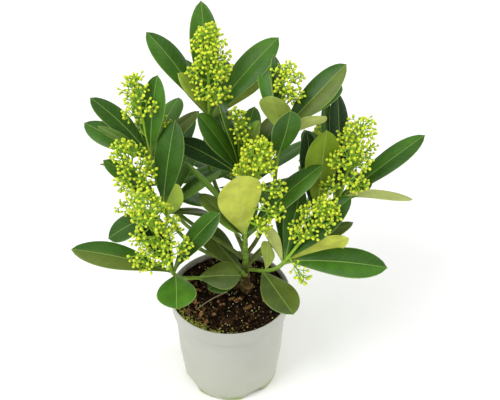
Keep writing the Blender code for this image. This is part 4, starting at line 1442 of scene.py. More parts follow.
@dataclass
class LeafBlades:
    """Every leaf as a thin, folded and arched blade.

    Attributes:
        sprays: What the rule placed.
        rows: Stations along a blade, which crowd towards the tip.
        columns: Points across one face of a blade.
        thickness: Thickness of a blade at its midrib.
        base_power: Power of s in the outline.
        tip_power: Power of 1 - s in the outline.
        stalk: Half width of the stalk.
        stalk_colour: Display colour of the stalk.
        last: Share of the length at the last station.
        crowding: Power that crowds the stations.
        opening: How much the fold has opened at the tip.
        curl: How far the edge turns down, as a share of the half width.
        turns: Radians of the edge's wave along the left and the right half.
        heights: Least and greatest height of that wave.
        groove: Half width of the groove along the midrib.
        grooves: Depth of that groove above and below.
    """

    sprays: list[Spray]
    rows: int = 18
    columns: int = 9
    thickness: float = 0.9
    base_power: float = 1.3
    tip_power: float = 0.7
    stalk: float = 1.1
    stalk_colour: Colour = (128, 156, 66)
    last: float = 0.996
    crowding: float = 1.15
    opening: float = 0.45
    curl: float = 0.16
    turns: tuple[float, float] = (9.0, 8.0)
    heights: tuple[float, float] = (0.25, 0.8)
    groove: float = 0.9
    grooves: tuple[float, float] = (0.22, 0.4)

    def outline(self, along: Array, width: float) -> Array:
        """Half width along a blade: the cube root of outline^3 + stalk^3."""
        shape = leaf_outline(along, self.base_power, self.tip_power)
        stalk = self.stalk * (1.0 - smoothstep(0.3, 0.9, along))
        return ((shape * width / 2.0) ** 3 + stalk ** 3) ** (1.0 / 3.0)

    def blade(self, leaf: Leaf, root: Array, lean: Array, draw: Draw) -> Surface:
        """One leaf as a closed shell.

        With s along and t across, the point is spine(s) + t h(s) side + n(s, t) upright, where
        the spine bends by arch * (1/2 - s), h is the outline and n adds the fold |t| h tan f, the
        turned-down edge -r |t|^4 h, a wave |t|^2 sin(2 pi k s) and half the thickness.

        Args:
            leaf: The leaf.
            root: Where its chord starts.
            lean: The way its shoot's head leans.
            draw: Source of its small irregularities.

        Returns:
            Upper face, then underside, as one ring of points for each station.
        """
        chord, normal, side = leaf_axes(leaf, lean)
        s = 1.0 - (1.0 - np.linspace(0.0, self.last, self.rows)) ** self.crowding
        t = np.linspace(-1.0, 1.0, self.columns)
        arch = math.radians(leaf.arch)
        bend = arch * (0.5 - s)
        ahead = (math.sin(arch / 2.0) - np.sin(bend)) / arch * leaf.length
        above = (np.cos(bend) - math.cos(arch / 2.0)) / arch * leaf.length
        bow = draw.uniform(-0.02, 0.02) * leaf.length * np.sin(math.pi * s)
        spine = root + ahead[:, None] * chord + above[:, None] * normal + bow[:, None] * side
        upright = np.cos(bend)[:, None] * normal - np.sin(bend)[:, None] * chord
        half = self.outline(s, leaf.width)
        fold = math.tan(math.radians(LEAF_FOLD)) * (1.0 - self.opening * s)
        widths = half[:, None] * t[None, :]
        rise = np.abs(widths) * fold[:, None] - self.curl * half[:, None] * np.abs(t[None, :]) ** 4
        phase = draw.uniform(0.0, 2.0 * math.pi, 2)
        left, right = (np.sin(turn * s[:, None] + start) for turn, start in zip(self.turns, phase))
        waves = np.where(t[None, :] > 0, left, right)
        rise += draw.uniform(*self.heights) * waves * t[None, :] ** 2 * (half / half.max())[:, None]
        groove = np.exp(-(widths / self.groove) ** 2)
        edge = self.thickness / 2.0 * (1.0 - 0.6 * t[None, :] ** 2)
        top = rise + edge - self.grooves[0] * groove
        under = rise - edge - self.grooves[1] * groove * (1.0 - 0.7 * s[:, None])
        place = spine[:, None, :] + widths[:, :, None] * side
        rings = np.concatenate([place + top[:, :, None] * upright[:, None, :],
                                (place + under[:, :, None] * upright[:, None, :])[:, ::-1]], axis=1)
        tip = spine[-1:] + (spine[-1:] - spine[-2:-1]) * 0.3
        points = np.vstack([rings.reshape(-1, 3), root[None, :], tip])
        columns = 2 * self.columns
        both = np.concatenate([t, t[::-1]])
        across = grid_pairs(both, s)
        spans = grid_pairs(np.concatenate([widths, widths[:, ::-1]], axis=1), s * leaf.length) / 100.0
        tones = self.tones(leaf, s, t, draw)
        ends = np.array([[0.0, 0.0], [0.0, 1.0]])
        slots = np.tile(np.repeat([0, 1], self.columns), self.rows - 1)
        return Surface(points, grid_quads(self.rows, columns), caps(self.rows, columns),
                       np.vstack([tones, tones[:1], tones[-1:]]), np.vstack([across, ends]),
                       np.vstack([spans, ends * leaf.length / 100.0]), slots)

    def tones(self, leaf: Leaf, s: Array, t: Array, draw: Draw) -> Array:
        """Base colour of each point of a blade: its tones, with painted light and shade where its two
        halves differ, paler at the stalk.

        Args:
            leaf: The leaf.
            s: Place along.
            t: Place across the upper face.
            draw: Source of the leaf's own shade.

        Returns:
            One colour a point, in linear light.
        """
        shade = draw.uniform(0.9, 1.1)
        right, left = linear(leaf.tone.value), linear((leaf.half or leaf.tone).value)
        # The two halves' tones meet at the midrib; where they differ, that is painted light and shade
        # on one side of the fold.
        upper = mixed(smoothstep(-0.08, 0.08, t)[:, None], right, left) * shade
        lower = np.broadcast_to(linear(leaf.under.value) * shade, upper.shape)
        stalk = 0.7 * (1.0 - smoothstep(0.02, 0.2, s))[:, None, None]
        ring = np.concatenate([upper, lower])[None]
        return mixed(stalk, ring, linear(self.stalk_colour)).reshape(-1, 3)

    def build(self) -> list[Piece]:
        """Make all the blades as one piece with an upper and a lower finish."""
        parts = []
        for spray in self.sprays:
            lean = shoot_frame(spray.shoot)[2]
            for index, (leaf, root) in enumerate(spray.leaves):
                draw = np.random.default_rng(spray.shoot.seed * 100 + index)
                parts.append(self.blade(leaf, root, lean, draw))
        finishes = [
            BladeFinish("leaf_upper_face", 0.42, (150, 176, 92), 0.6, 0.07, 0.45, -0.35).material(),
            BladeFinish("leaf_underside", 0.62, (178, 194, 112), 0.6, 0.08, 0.25, 0.5).material(),
        ]
        names = [spray.shoot.name for spray in self.sprays]
        return [Surface.joined(parts).as_piece("leaf_blades", "foliage", names, finishes)]


@dataclass
class FlowerHeads:
    """Panicles of small round buds on fine green stalks.

    Attributes:
        sprays: What the rule placed.
        space: Where everything stands, so that finer branches keep clear of it.
        fine_share: Finer branches for each millimetre of a head's axis.
        side_every: Length of branch for each of its side branches.
        free_share: Share of a loose branch, from its root, that isn't held against leaves where
            the head's axis bows behind them.
        branch_room: How far a branch's outer part stays from every leaf.
        branchlet_room: How far a branchlet does.
        radii: Radius of the stalks of the solids' branches, the finer and the side ones.
        counts: Branchlets on each of those.
        bow_end: Share of a head's axis that bows.
        buds_each: Buds on one branchlet.
        bud_size: Radius of a bud.
        green: Display colour of the stalks.
        yellow: Display colour of a bud's top.
        lime: Display colour of a bud's foot.
    """

    sprays: list[Spray]
    space: Space
    fine_share: float = 0.2
    side_every: float = 12.0
    free_share: float = 0.4
    branch_room: float = 2.4
    branchlet_room: float = 1.2
    radii: tuple[float, float, float] = (0.95, 0.75, 0.55)
    counts: tuple[int, int, int] = (5, 4, 2)
    bow_end: float = 0.6
    buds_each: int = 3
    bud_size: float = 1.45
    green: Colour = (142, 180, 54)
    yellow: Colour = (222, 226, 62)
    lime: Colour = (162, 198, 48)

    def finer_branches(self, shoot: Shoot) -> list[Branch]:
        """Branches between the solids' ones by the same rule, where nothing is in their way."""
        draw = random.Random(shoot.seed + 500)
        count = round(self.fine_share * shoot.head[0])
        found = []
        for k in range(count):
            place, angle = 0.12 + 0.84 * (k + 0.5) / count, (k + 0.4) * GOLDEN_ANGLE
            stretch, tilt = draw.uniform(0.8, 1.15), draw.uniform(0.7, 1.3)
            root, way, reach = cone_branch(shoot, place, angle, stretch, tilt)
            found.append(Branch(root, way, reach, reach * 0.27))
        return [branch for branch in found if not self.space.touches(shoot.name, branch.solid())]

    def side_branches(self, branch: Branch, draw: Draw) -> list[Branch]:
        """Short branches along a branch, turned about it by the golden angle."""
        count = int(branch.reach / self.side_every)
        side = unit(np.cross(branch.way, SIDE_HINT))
        found = []
        for k in range(count):
            share = 0.3 + 0.45 * k / count
            outward = turned(side, branch.way, k * GOLDEN_ANGLE + draw.uniform(-30.0, 30.0))
            reach = branch.reach * (0.9 - share) * draw.uniform(0.5, 0.75) + 2.5
            way = unit(outward + branch.way * draw.uniform(0.6, 1.1))
            root = branch.root + branch.way * branch.reach * share
            found.append(Branch(root, way, reach, reach * 0.42, branch.loose))
        return found

    def cluster(self, branch: Branch, count: int, draw: Draw) -> tuple[Array, ...]:
        """Where a branch's branchlets start and end, and where their buds stand.

        Branchlet i leaves the branch at a golden angle, leaning outwards more the lower it starts:
        its end is centre + r (cos a way + sin a outward), with cos a = 1 - 1.5 i / n.

        Args:
            branch: The branch.
            count: Number of branchlets.
            draw: Source of its small irregularities.

        Returns:
            Starts and ends of the branchlets, and ends and ways of the buds' stalks.
        """
        i = np.arange(count) + 0.5
        cosine = 1.0 - 1.5 * i / count
        sine = np.sqrt(np.maximum(0.0, 1.0 - cosine ** 2))
        angle = np.radians(GOLDEN_ANGLE) * np.arange(count) + draw.uniform(0.0, 6.3)
        side = unit(np.cross(branch.way, SIDE_HINT))
        outward = np.cos(angle)[:, None] * side + np.sin(angle)[:, None] * np.cross(branch.way, side)
        centre = branch.root + branch.way * (branch.reach - 1.05 * branch.size)
        reach = branch.size * draw.uniform(0.78, 1.05, count)[:, None]
        ends = centre + reach * (cosine[:, None] * branch.way + sine[:, None] * outward)
        back = np.clip(reach[:, 0] * (cosine - 0.9 * sine) - 1.0, -1.2 * branch.size, 0.4 * branch.size)
        starts = centre + back[:, None] * branch.way
        ways = unit(ends - starts)
        lean = unit(np.cross(ways, branch.way) + 1e-3)
        fan = np.arange(self.buds_each) * 2.0 * math.pi / self.buds_each
        turn = draw.uniform(0.0, 6.3, (count, 1)) + fan
        spread = (np.cos(turn)[:, :, None] * lean[:, None, :]
                  + np.sin(turn)[:, :, None] * np.cross(ways, lean)[:, None, :])
        spread = spread * draw.uniform(0.7, 1.2, turn.shape)[:, :, None]
        bud_ways = unit(ways[:, None, :] * 0.85 + spread)
        joints = ends - ways * 2.2
        tips = joints[:, None, :] + bud_ways * draw.uniform(2.2, 4.0, turn.shape)[:, :, None]
        return starts, joints, tips, bud_ways

    def clear_of_leaves(self, starts: Array, ends: Array, margin: float = 0.0) -> Array:
        """Which straight stalks meet no leaf.

        Args:
            starts: Where they start.
            ends: Where they end; each is taken a bud's radius longer.
            margin: How far their outer parts must stay from every leaf.

        Returns:
            Whether each is clear.
        """
        ways, lengths = unit(ends - starts), np.linalg.norm(ends - starts, axis=-1)
        leaves = [(tree, low - 40.0, high + 40.0) for _, part, tree, low, high in self.space.placed
                  if part == "leaf"]
        shares = (0.4, 0.65, 1.0) if margin else ()
        return np.array([
            all(tree.ray_cast(tuple(start), tuple(way), length + self.bud_size)[0] is None
                and all(tree.find_nearest(tuple(start + way * length * share), margin)[0] is None
                        for share in shares)
                for tree, low, high in leaves if (start > low).all() and (start < high).all())
            for start, way, length in zip(starts, ways, lengths)], bool)

    def bowed(self, shoot: Shoot, places: Array) -> Array:
        """Places by a head's axis, moved back with it by bow sin(pi h / e), with h up to e."""
        _, _, lean, crown = shoot_frame(shoot)
        share = np.clip((places - crown) @ lean / shoot.head[0] / self.bow_end, 0.0, 1.0)
        return places + np.outer(np.sin(math.pi * share) * shoot.bow, (0.0, 1.0, 0.0))

    def in_outline(self, shoot: Shoot, ends: Array, loose: Array) -> Array:
        """Which places lie within a head's outline.

        With h the share of the head's length and r the distance from its axis, a place is within
        where r < 1.15 R (1 - h)^point + R / 8 and it is not on the bare part of the front. Places
        on the loose branches are always within.
        """
        _, _, lean, crown = shoot_frame(shoot)
        length, radius = shoot.head
        along = (ends - crown) @ lean
        aside = ends - crown - along[:, None] * lean
        share = np.clip(along / length, 0.0, 1.0)
        inside = np.linalg.norm(aside, axis=1) < radius * (1.15 * (1.0 - share) ** shoot.point + 0.125)
        front = (aside[:, 1] < 0.15 * radius) & (share < shoot.bare_front)
        return loose | inside & ~front

    def add_stalks(self, shoot: Shoot, branches: Sequence[Branch], radius: float, stalks: list[Surface],
                   draw: Draw) -> list[Branch]:
        """Keep the branches that have room, and add their stalks to what there is.

        Args:
            shoot: The shoot that bears them.
            branches: The branches as they are wanted.
            radius: Radius of their stalks.
            stalks: Surfaces of the stalks so far.
            draw: Source of their shades.

        Returns:
            The branches that were kept.
        """
        if not branches:
            return []
        starts = self.bowed(shoot, np.array([branch.root for branch in branches]))
        ends = np.array([branch.root + branch.way * (branch.reach - branch.size)
                         for branch in branches])
        loose = np.array([branch.loose for branch in branches])
        kept = self.in_outline(shoot, ends, loose)
        middles = starts + (ends - starts) * (self.free_share if shoot.bow else 0.0)
        kept &= np.where(loose, self.clear_of_leaves(middles, ends),
                         self.clear_of_leaves(starts, ends, self.branch_room))
        tones = linear(self.green) * draw.uniform(0.8, 1.2, (kept.sum(), 1))
        stalks.append(thin_tubes(starts[kept], ends[kept], (radius, radius * 0.8), tones, 4, 0.03))
        return [branch for branch, keeps in zip(branches, kept) if keeps]

    def head(self, spray: Spray, stalks: list[Surface], tips: list[Array], ways: list[Array]) -> None:
        """Add one head's stalks, and the places and ways of its buds, to what there is.

        Args:
            spray: The shoot that bears it.
            stalks: Surfaces of the stalks so far.
            tips: Ends of the buds' stalks so far.
            ways: Ways of the buds' stalks so far.
        """
        shoot = spray.shoot
        _, _, lean, crown = shoot_frame(shoot)
        draw = np.random.default_rng(shoot.seed + 900)
        green = linear(self.green)
        axis = np.linspace(crown, crown + lean * (shoot.head[0] - CLUSTER_RADIUS), 16)
        stalks.append(plain_limb(self.bowed(shoot, axis), 1.7, 0.8, green))
        branches = spray.branches + long_branches(shoot, shoot.fine_lobes)
        large = self.add_stalks(shoot, branches, self.radii[0], stalks, draw)
        middle = self.add_stalks(shoot, self.finer_branches(shoot), self.radii[1], stalks, draw)
        small = [side for branch in large + middle for side in self.side_branches(branch, draw)]
        small = self.add_stalks(shoot, small, self.radii[2], stalks, draw)
        found = [(*self.cluster(branch, count, draw), np.full(count, branch.loose))
                 for branches, count in zip((large, middle, small), self.counts) for branch in branches]
        starts, joints, ends, bud_ways, loose = (np.concatenate(parts) for parts in zip(*found))
        kept = self.clear_of_leaves(starts, joints, self.branchlet_room)
        starts, joints, ends, bud_ways, loose = (
            values[kept] for values in (starts, joints, ends, bud_ways, loose))
        each = ends.shape[1]
        feet = np.repeat(joints, each, axis=0)
        ends, bud_ways = ends.reshape(-1, 3), bud_ways.reshape(-1, 3)
        inner = crown + np.maximum((ends - crown) @ lean, 0.0)[:, None] * lean
        kept = self.in_outline(shoot, ends, np.repeat(loose, each))
        kept &= self.clear_of_leaves(feet, ends)
        kept &= np.repeat(loose, each) | self.clear_of_leaves(inner, ends)
        near = np.linalg.norm(ends[:, None, :] - ends[None, :, :], axis=-1) < shoot.bud_gap
        kept &= ~(np.tril(near, -1) & kept).any(axis=1)
        used = kept.reshape(-1, each).any(axis=1)
        tones = green * draw.uniform(0.8, 1.2, (used.sum(), 1))
        stalks.append(thin_tubes(starts[used], joints[used], (0.55, 0.5), tones, 3, 0.03))
        tones = green * draw.uniform(0.85, 1.25, (kept.sum(), 1))
        stalks.append(thin_tubes(feet[kept], ends[kept], (0.48, 0.6), tones, 3))
        tips.append(ends[kept])
        ways.append(bud_ways[kept])
        log.info("%s: %d buds", shoot.name, kept.sum())

    def buds(self, name: str, tips: Array, ways: Array, skin: Material) -> Piece:
        """Make buds as small ovals, yellow on top and green at the foot."""
        draw = np.random.default_rng(len(tips))
        template, quads, tris = bead(3, 6)
        sizes = self.bud_size * draw.uniform(0.8, 1.15, (len(tips), 1)) * np.array([[1.0, 1.0, 1.2]])
        share = smoothstep(-0.9, 0.4, template[:, 2])[None, :, None]
        ripe = draw.uniform(0.6, 1.0, (len(tips), 1, 1))
        tones = mixed(share * ripe, linear(self.lime), linear(self.yellow))
        tones = tones * draw.uniform(0.88, 1.1, (len(tips), 1, 1))
        places = tips + ways * self.bud_size * 0.7
        surface = scattered(template, quads, tris, places, turns_to(ways), sizes, tones)
        return surface.as_piece(name, "foliage", [], [skin])

    def build(self) -> list[Piece]:
        """Make the heads' stalks as one piece, and their buds as one piece for each half."""
        skin = TonedFinish("flower_bud_skin", 0.45, 220.0, 0.9, 1.08, 0.08, 700.0).material()
        pieces, stalks = [], []
        flowering = [spray for spray in self.sprays if spray.shoot.head]
        for name, chosen in (("flower_buds_low", flowering[:6]), ("flower_buds_high", flowering[6:])):
            tips, ways = [], []
            for spray in chosen:
                self.head(spray, stalks, tips, ways)
            pieces.append(self.buds(name, np.vstack(tips), np.vstack(ways), skin))
        green = TonedFinish("flower_stalk_green", 0.5, 160.0, 0.9, 1.1, 0.1, 500.0).material()
        return [*pieces, Surface.joined(stalks).as_piece("flower_stalks", "foliage", [], [green])]


@dataclass
class Limbs:
    """The main stem, the boughs and the shoots' own stems, with the bark's relief.

    Old bark is brown with paler scars, and young bark is green, but olive at a bough's foot.
    Each limb has the given number of columns of points round it.
    """

    sprays: list[Spray]
    columns: int = 18
    brown: Colour = (84, 68, 36)
    scar: Colour = (158, 132, 76)
    green: Colour = (116, 148, 50)
    olive: Colour = (92, 104, 46)

    def relief(self, rows: int, depth: float, seed: int) -> Array:
        """Fissures and scars: sums of waves along and round, and a ring at every node.

        Args:
            rows: Stations along the limb.
            depth: Height of the relief.
            seed: Source of its phases.

        Returns:
            Height for each row and column.
        """
        draw = np.random.default_rng(seed)
        s = np.linspace(0.0, 1.0, rows)[:, None]
        a = ring_angles(self.columns)[None, :]
        phase = draw.uniform(0.0, 6.3, 6)
        fissures = (np.sin(5 * a + 6 * np.sin(4 * s + phase[0]) + phase[1])
                    + 0.7 * np.sin(8 * a - 9 * s + phase[2]) + 0.5 * np.sin(3 * a + 31 * s + phase[3]))
        nodes = np.maximum(0.0, np.sin(26 * s + 1.2 * np.sin(a + phase[4]))) ** 8
        return depth * (0.35 * fissures + 1.6 * nodes)

    def main_stem(self) -> Surface:
        """The woody stem: flare and taper of its solid, with relief, sunk a little in the soil."""
        rows = 90
        s = np.linspace(0.0, 1.0, rows)
        path = smooth_path(STEM_PATH, rows)
        path[0, 2] -= 2.0
        relief = self.relief(rows, 0.28, 4)
        scars = smoothstep(0.2, 0.6, relief)[:, :, None]
        young = smoothstep(0.38, 0.72, s)[:, None, None]
        tones = mixed(young, mixed(scars, linear(self.brown), linear(self.scar)), linear(self.green))
        return limb_surface(path, stem_radii(s, path[:, 2], self.columns) - 0.15 + relief, tones)

    def limb(self, knots: Sequence[Array], radii: tuple[float, float], tones: tuple[Array, Array],
             seed: int, sink: float) -> Surface:
        """A young limb along Bezier knots, its foot sunk into what carries it.

        Args:
            knots: The four knots.
            radii: Radius at the foot and at the tip.
            tones: Colour at the foot and at the tip.
            seed: Source of its relief.
            sink: How far its foot reaches back into what carries it.

        Returns:
            The limb.
        """
        path = bezier(knots, 40)
        back = path[:1] - unit(path[1] - path[0]) * sink
        path = np.vstack([back, path])
        rows = len(path)
        s = np.linspace(0.0, 1.0, rows)[:, None]
        base = radii[0] + (radii[1] - radii[0]) * s + 0.7 * np.exp(-s * 40.0)
        return limb_surface(path, base + self.relief(rows, 0.07, seed), mixed(s, *tones))

    def build(self) -> list[Piece]:
        """Make the woody stem, the boughs and the shoots' stems as three pieces."""
        bark = TonedFinish("old_bark", 0.85, 260.0, 0.55, 1.35, 0.7, 520.0).material()
        skin = TonedFinish("young_bark", 0.6, 150.0, 0.82, 1.15, 0.25, 420.0).material()
        green = linear(self.green)
        boughs, shoots, names = [], [], []
        for index, spray in enumerate(self.sprays):
            shoot = spray.shoot
            if shoot.seat is Seat.BOUGH:
                boughs.append(self.limb(bough_knots(shoot), (BOUGH_FOOT_RADIUS, BOUGH_TIP_RADIUS),
                                        (linear(self.olive), green), index, 1.2))
                names.append(shoot.name.replace("shoot", "bough"))
            radii = SHOOT_FOOT_RADIUS - 0.1, SHOOT_TOP_RADIUS - 0.2
            shoots.append(self.limb(shoot_knots(shoot), radii, (green, green * 1.15), 40 + index, 0.8))
        return [
            self.main_stem().as_piece("main_stem_bark", "bark", ["main_stem"], [bark], 80.0),
            Surface.joined(boughs).as_piece("bough_bark", "green_bark", names, [skin], 80.0),
            Surface.joined(shoots).as_piece("shoot_stems", "foliage", [], [skin], 80.0),
        ]


@dataclass
class Pot:
    """The nursery pot: a flared collar over a tapered body, with drain notches in its foot.

    Angles are in degrees. The outer radius is base at the foot, body_mid at body_mid_height,
    body_top under the collar, collar_foot at the collar's foot and rim at the lip. The edge is
    the size of the small bevels, and a notch eases over its slope to its rise and depth.
    """

    sides: int = 144
    height: float = 110.0
    rim: float = 60.0
    collar_height: float = 18.0
    collar_foot: float = 58.4
    body_top: float = 55.2
    body_mid: float = 52.0
    body_mid_height: float = 38.0
    base: float = 47.2
    wall: float = 1.3
    floor: float = 2.5
    edge: float = 1.2
    notches: int = 4
    notch_first: float = 31.5
    notch_half_width: float = 9.0
    notch_slope: float = 9.0
    notch_rise: float = 6.0
    notch_depth: float = 7.0

    def openings(self) -> Array:
        """How far a notch is open at each angle, eased from 0 to 1 over its slope."""
        spacing = 360.0 / self.notches
        angles = np.linspace(0.0, 360.0, self.sides, endpoint=False)
        offset = (angles - self.notch_first + spacing / 2.0) % spacing - spacing / 2.0
        shut, full = self.notch_half_width + self.notch_slope, self.notch_half_width - 2.0
        return smoothstep(shut, full, np.abs(offset))

    def body_radius(self, height: Array) -> Array:
        """Radius of the body: straight from its foot to body_mid_height, then to the collar."""
        heights = self.edge, self.body_mid_height, self.height - self.collar_height - self.edge
        return np.interp(height, heights, (self.base, self.body_mid, self.body_top))

    def build(self) -> list[Piece]:
        """Turn the profile round the axis, with its foot drawn in at each notch."""
        opening = self.openings()
        deep, raised = self.notch_depth * opening, self.notch_rise * opening
        rings = [np.stack([self.base - 2.6 * self.edge - deep, np.zeros(self.sides)], axis=-1)]
        for share, drop in ((0.0, self.edge), (0.3, 0.35 * self.edge), (1.0, 0.0)):
            foot = self.base - drop - deep * (1.0 - share)
            height = (self.edge + raised) * share + 0.12 * (1.0 - share) * share
            rings.append(np.stack([foot, height], axis=-1))
        top = self.height - self.collar_height - self.edge
        plain: list[tuple[float, float]] = []
        for height in np.linspace(12.0, top, 60):
            bead_ring = 0.3 * math.exp(-((height - 76.0) / 1.4) ** 2)
            plain.append((float(self.body_radius(height)) + bead_ring, height))
        collar = self.height - self.collar_height
        plain += [(self.body_top + 0.5, collar - 0.5), (self.collar_foot - 0.8, collar),
                  (self.collar_foot - 0.15, collar + 0.35), (self.collar_foot, collar + 1.1)]
        plain += [(self.collar_foot + (self.rim - self.collar_foot) * share,
                   collar + 1.2 + (self.collar_height - 2.6) * share) for share in (0.33, 0.66, 1.0)]
        middle, lip = self.rim - self.wall / 2.0, 0.62
        plain += [(middle + lip * math.cos(turn), self.height - lip + lip * math.sin(turn))
                  for turn in np.linspace(0.2, math.pi - 0.2, 6)]
        plain += [(self.rim - self.wall, self.height - self.edge),
                  (self.collar_foot - self.wall, collar + self.edge),
                  (self.body_top - self.wall, collar - self.edge),
                  (self.body_mid - self.wall, self.body_mid_height)]
        rings += [np.broadcast_to(pair, (self.sides, 2)) for pair in plain]
        inner = self.base - self.wall
        over = self.floor + self.edge + raised * 7 / 6
        rings.append(np.stack([np.full(self.sides, inner), over], axis=-1))
        rings.append(np.stack([inner - 2.0 - deep, np.full(self.sides, self.floor)], axis=-1))
        radii, heights = np.moveaxis(np.array(rings), -1, 0)
        surface = turned_surface(radii, heights, (0.0, self.floor), np.ones(3))
        return [surface.as_piece("nursery_pot", "pot", ["pot"], [PotFinish().material()], 40.0)]


@dataclass
class Soil:
    """Dark potting mix, with numbers of chips, crumbs, pale and yellow-green grains and moss.

    The mix reaches the pot's wall at its radius, and the level is its mean height.
    """

    radius: float = 57.4
    level: float = 101.2
    chips: int = 230
    crumbs: int = 1500
    grains: tuple[int, int] = (110, 110)
    moss: int = 520

    def height(self, x: Array, y: Array) -> Array:
        """Height of the mix: its level and a few crossed waves, higher at the wall."""
        away = np.hypot(x, y)
        waves = (np.sin(0.11 * x + 0.7) * np.sin(0.13 * y + 0.2)
                 + 0.6 * np.sin(0.31 * x - 0.22 * y) + 0.45 * np.sin(0.42 * y + 0.35 * x + 1.0)
                 + 0.3 * np.sin(0.9 * x + 2.0) * np.sin(0.8 * y))
        return self.level + waves + 3.0 * smoothstep(36.0, 57.0, away)

    def bed(self) -> Surface:
        """The mix as one closed grid of rings: over the top, down the side and back under."""
        columns = 96
        spread = np.array([*np.linspace(0.5, self.radius, 44), self.radius - 0.2, 40.0, 1.0])[:, None]
        angles = ring_angles(columns)
        x, y = spread * np.cos(angles), spread * np.sin(angles)
        z = self.height(x, y) + np.random.default_rng(5).normal(0.0, 0.28, x.shape)
        z[-3:] = np.array([[94.0], [92.0], [92.0]])
        return turned_surface(spread, z, (z[0].mean(), 92.0), linear((26, 18, 11)), flipped=True)

    def spots(self, draw: Draw, count: int, reach: float) -> Array:
        """Places on the mix, spread evenly over its area within a radius."""
        away = reach * np.sqrt(draw.uniform(0.0, 1.0, count))
        angle = draw.uniform(0.0, 2.0 * math.pi, count)
        x, y = away * np.cos(angle), away * np.sin(angle)
        return np.stack([x, y, self.height(x, y)], axis=-1)

    def chip_surface(self, draw: Draw) -> Surface:
        """Bark chips: flat boxes with every corner moved at random, lying nearly level."""
        corners = np.array([(x, y, z) for z in (-1, 1) for y in (-1, 1) for x in (-1, 1)], float)
        quads = np.array([(0, 2, 3, 1), (4, 5, 7, 6), (0, 1, 5, 4), (2, 6, 7, 3), (0, 4, 6, 2),
                          (1, 3, 7, 5)])
        shapes = corners[None] * draw.uniform(0.55, 1.0, (self.chips, 8, 3))
        large = draw.uniform(0.0, 1.0, self.chips) ** 2
        sizes = np.stack([1.5 + 5.0 * large, draw.uniform(0.8, 1.4, self.chips) * (1.0 + 1.6 * large),
                          draw.uniform(0.5, 1.3, self.chips)], axis=-1)
        ways = unit(draw.normal(0.0, 0.5, (self.chips, 3)) + UPWARD)
        spin = draw.uniform(0.0, 2.0 * math.pi, self.chips)
        turn = turns_to(ways)
        spun = np.stack([turn[:, :, 0] * np.cos(spin)[:, None] + turn[:, :, 1] * np.sin(spin)[:, None],
                         turn[:, :, 1] * np.cos(spin)[:, None] - turn[:, :, 0] * np.sin(spin)[:, None],
                         turn[:, :, 2]], axis=-1)
        shade = draw.uniform(0.0, 1.0, (self.chips, 1))
        tones = mixed(shade ** 4, linear((46, 31, 19)), linear((170, 128, 82)))
        places = self.spots(draw, self.chips, self.radius - 6.0) + UPWARD * 0.9
        return scattered(shapes, quads, NO_TRIS, places, spun, sizes, tones)

    def scatter(self, draw: Draw, places: Array, size: tuple[float, float],
                first: Sequence[float], second: Sequence[float]) -> Surface:
        """Small lumps at places, of sizes within a range and shades between two colours."""
        template, quads, tris = bead(2, 5)
        count = len(places)
        shapes = template[None] * draw.uniform(0.7, 1.15, (count, len(template), 1))
        sizes = draw.uniform(*size, (count, 1)) * draw.uniform(0.7, 1.1, (count, 3))
        shade = draw.uniform(0.0, 1.0, (count, 1))
        tones = mixed(shade, linear(first), linear(second))
        return scattered(shapes, quads, tris, places, random_turns(draw, count), sizes, tones)

    def build(self) -> list[Piece]:
        """Make the bed, what lies on it and the thin pale twig."""
        mix = TonedFinish("damp_mix", 0.95, 420.0, 0.3, 1.8, 1.0, 900.0, 0.05).material()
        bed = self.bed().as_piece("potting_mix", "soil", ["soil"], [mix], 80.0)
        draw = np.random.default_rng(31)
        parts = [self.chip_surface(draw)]
        for count, inset, raised, size, first, second in (
                (self.crumbs, 2.0, 0.3, (0.5, 1.7), (14, 10, 7), (70, 48, 30)),
                (self.grains[0], 4.0, 0.9, (0.4, 0.8), (196, 180, 140), (236, 232, 220)),
                (self.grains[1], 4.0, 0.9, (0.6, 1.2), (132, 140, 56), (190, 186, 104))):
            places = self.spots(draw, count, self.radius - inset) + UPWARD * raised
            parts.append(self.scatter(draw, places, size, first, second))
        angle = np.radians(draw.normal(234.0, 20.0, self.moss))
        away = self.radius - np.abs(draw.normal(0.0, 5.5, self.moss)) - 0.6
        x, y = away * np.cos(angle), away * np.sin(angle)
        moss = np.stack([x, y, self.height(x, y) + 0.5], axis=-1)
        parts.append(self.scatter(draw, moss, (0.5, 1.3), (74, 84, 30), (176, 176, 84)))
        skin = TonedFinish("mix_pieces", 0.9, 500.0, 0.6, 1.3, 0.7, 900.0, 0.08).material()
        litter = Surface.joined(parts).as_piece("bark_chips_and_grains", "soil", [], [skin])
        knots = [np.array(point) for point in ((-3.0, 5.0, 103.4), (-12.0, -3.0, 106.6),
                                               (-21.0, -9.0, 106.0), (-33.0, -20.0, 103.6))]
        dry = TonedFinish("dry_twig_skin", 0.8, 300.0, 0.75, 1.15, 0.3, 600.0).material()
        twig = plain_limb(bezier(knots, 14), 0.65, 0.4, linear((176, 158, 122)))
        return [bed, litter, twig.as_piece("dry_twig", "soil", [], [dry])]


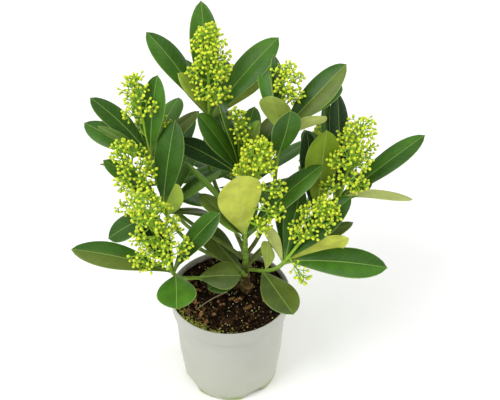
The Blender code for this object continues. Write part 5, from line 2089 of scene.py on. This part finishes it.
@dataclass
class Studio:
    """A plain pale floor, soft lights and the camera.

    The camera's place is in metres and its tilt, down from level, in degrees. Its focal length
    is in pixels of a view 500 wide.
    """

    camera_place: tuple[float, float, float] = (0.0199, -0.8995, 0.9827)
    tilt: float = 40.0
    focal: float = 1256.0

    def floor(self) -> Piece:
        """A large plain floor just under the pot."""
        mesh = bpy.data.meshes.new("studio_floor")
        half = 4.0
        corners = ((-half, -half), (half, -half), (half, half), (-half, half))
        mesh.from_pydata([(*corner, 0.0) for corner in corners], [], [(0, 1, 2, 3)])
        paper, _, _ = start_material("studio_paper", Roughness=0.9, Base_Color=(0.93, 0.93, 0.93, 1.0))
        mesh.materials.append(paper)
        made = linked("studio_floor", mesh)
        return made

    def light(self, name: str, place: tuple[float, float, float], size: float, power: float) -> None:
        """A square soft light that looks at the middle of the plant."""
        data = bpy.data.lights.new(name, "AREA")
        data.size = size
        data.energy = power
        away = Vector(place) - Vector((0.0, 0.0, 0.2))
        turn = away.to_track_quat("Z", "Y").to_matrix().to_4x4()
        linked(name, data).matrix_world = Matrix.Translation(place) @ turn

    def build(self) -> None:
        """Set up the floor, the lights, the world and the camera."""
        self.floor()
        self.light("key_light", (-1.1, -0.7, 1.7), 1.2, 26.0)
        self.light("side_light", (1.5, 0.5, 1.2), 1.0, 14.0)
        world = bpy.data.worlds.new("studio_world")
        world.use_nodes = True
        background = world.node_tree.nodes["Background"]
        background.inputs["Color"].default_value = (1.0, 1.0, 1.0, 1.0)
        background.inputs["Strength"].default_value = 0.8
        bpy.context.scene.world = world
        bpy.context.scene.view_settings.view_transform = "Standard"
        data = bpy.data.cameras.new("studio_camera")
        data.sensor_width = 36.0
        data.lens = self.focal * data.sensor_width / 500.0
        camera = linked("studio_camera", data)
        angle = math.radians(self.tilt)
        ahead = Vector((0.0, math.cos(angle), -math.sin(angle)))
        turn = ahead.to_track_quat("-Z", "Y").to_matrix().to_4x4()
        camera.matrix_world = Matrix.Translation(self.camera_place) @ turn
        bpy.context.scene.camera = camera


def report(pieces: Sequence[Piece]) -> None:
    """Log each piece with its number of triangles."""
    for piece in pieces:
        piece.data.calc_loop_triangles()
        log.info("%s: %d triangles", piece.name, len(piece.data.loop_triangles))


def main() -> None:
    """Build every sub-assembly in order."""
    logging.basicConfig(level=logging.INFO, format="%(message)s")
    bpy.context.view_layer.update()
    rule = GrowingRule()
    sprays = rule.grow()
    log.info("leaves: %d, flower branches: %d", sum(len(spray.leaves) for spray in sprays),
             sum(len(spray.branches) for spray in sprays))
    steps: tuple[Callable[[], list[Piece]], ...] = (
        LeafBlades(sprays).build, FlowerHeads(sprays, rule.space).build, Limbs(sprays).build,
        Pot().build, Soil().build)
    for step in steps:
        report(step())
    Studio().build()


if __name__ == "__main__":
    main()
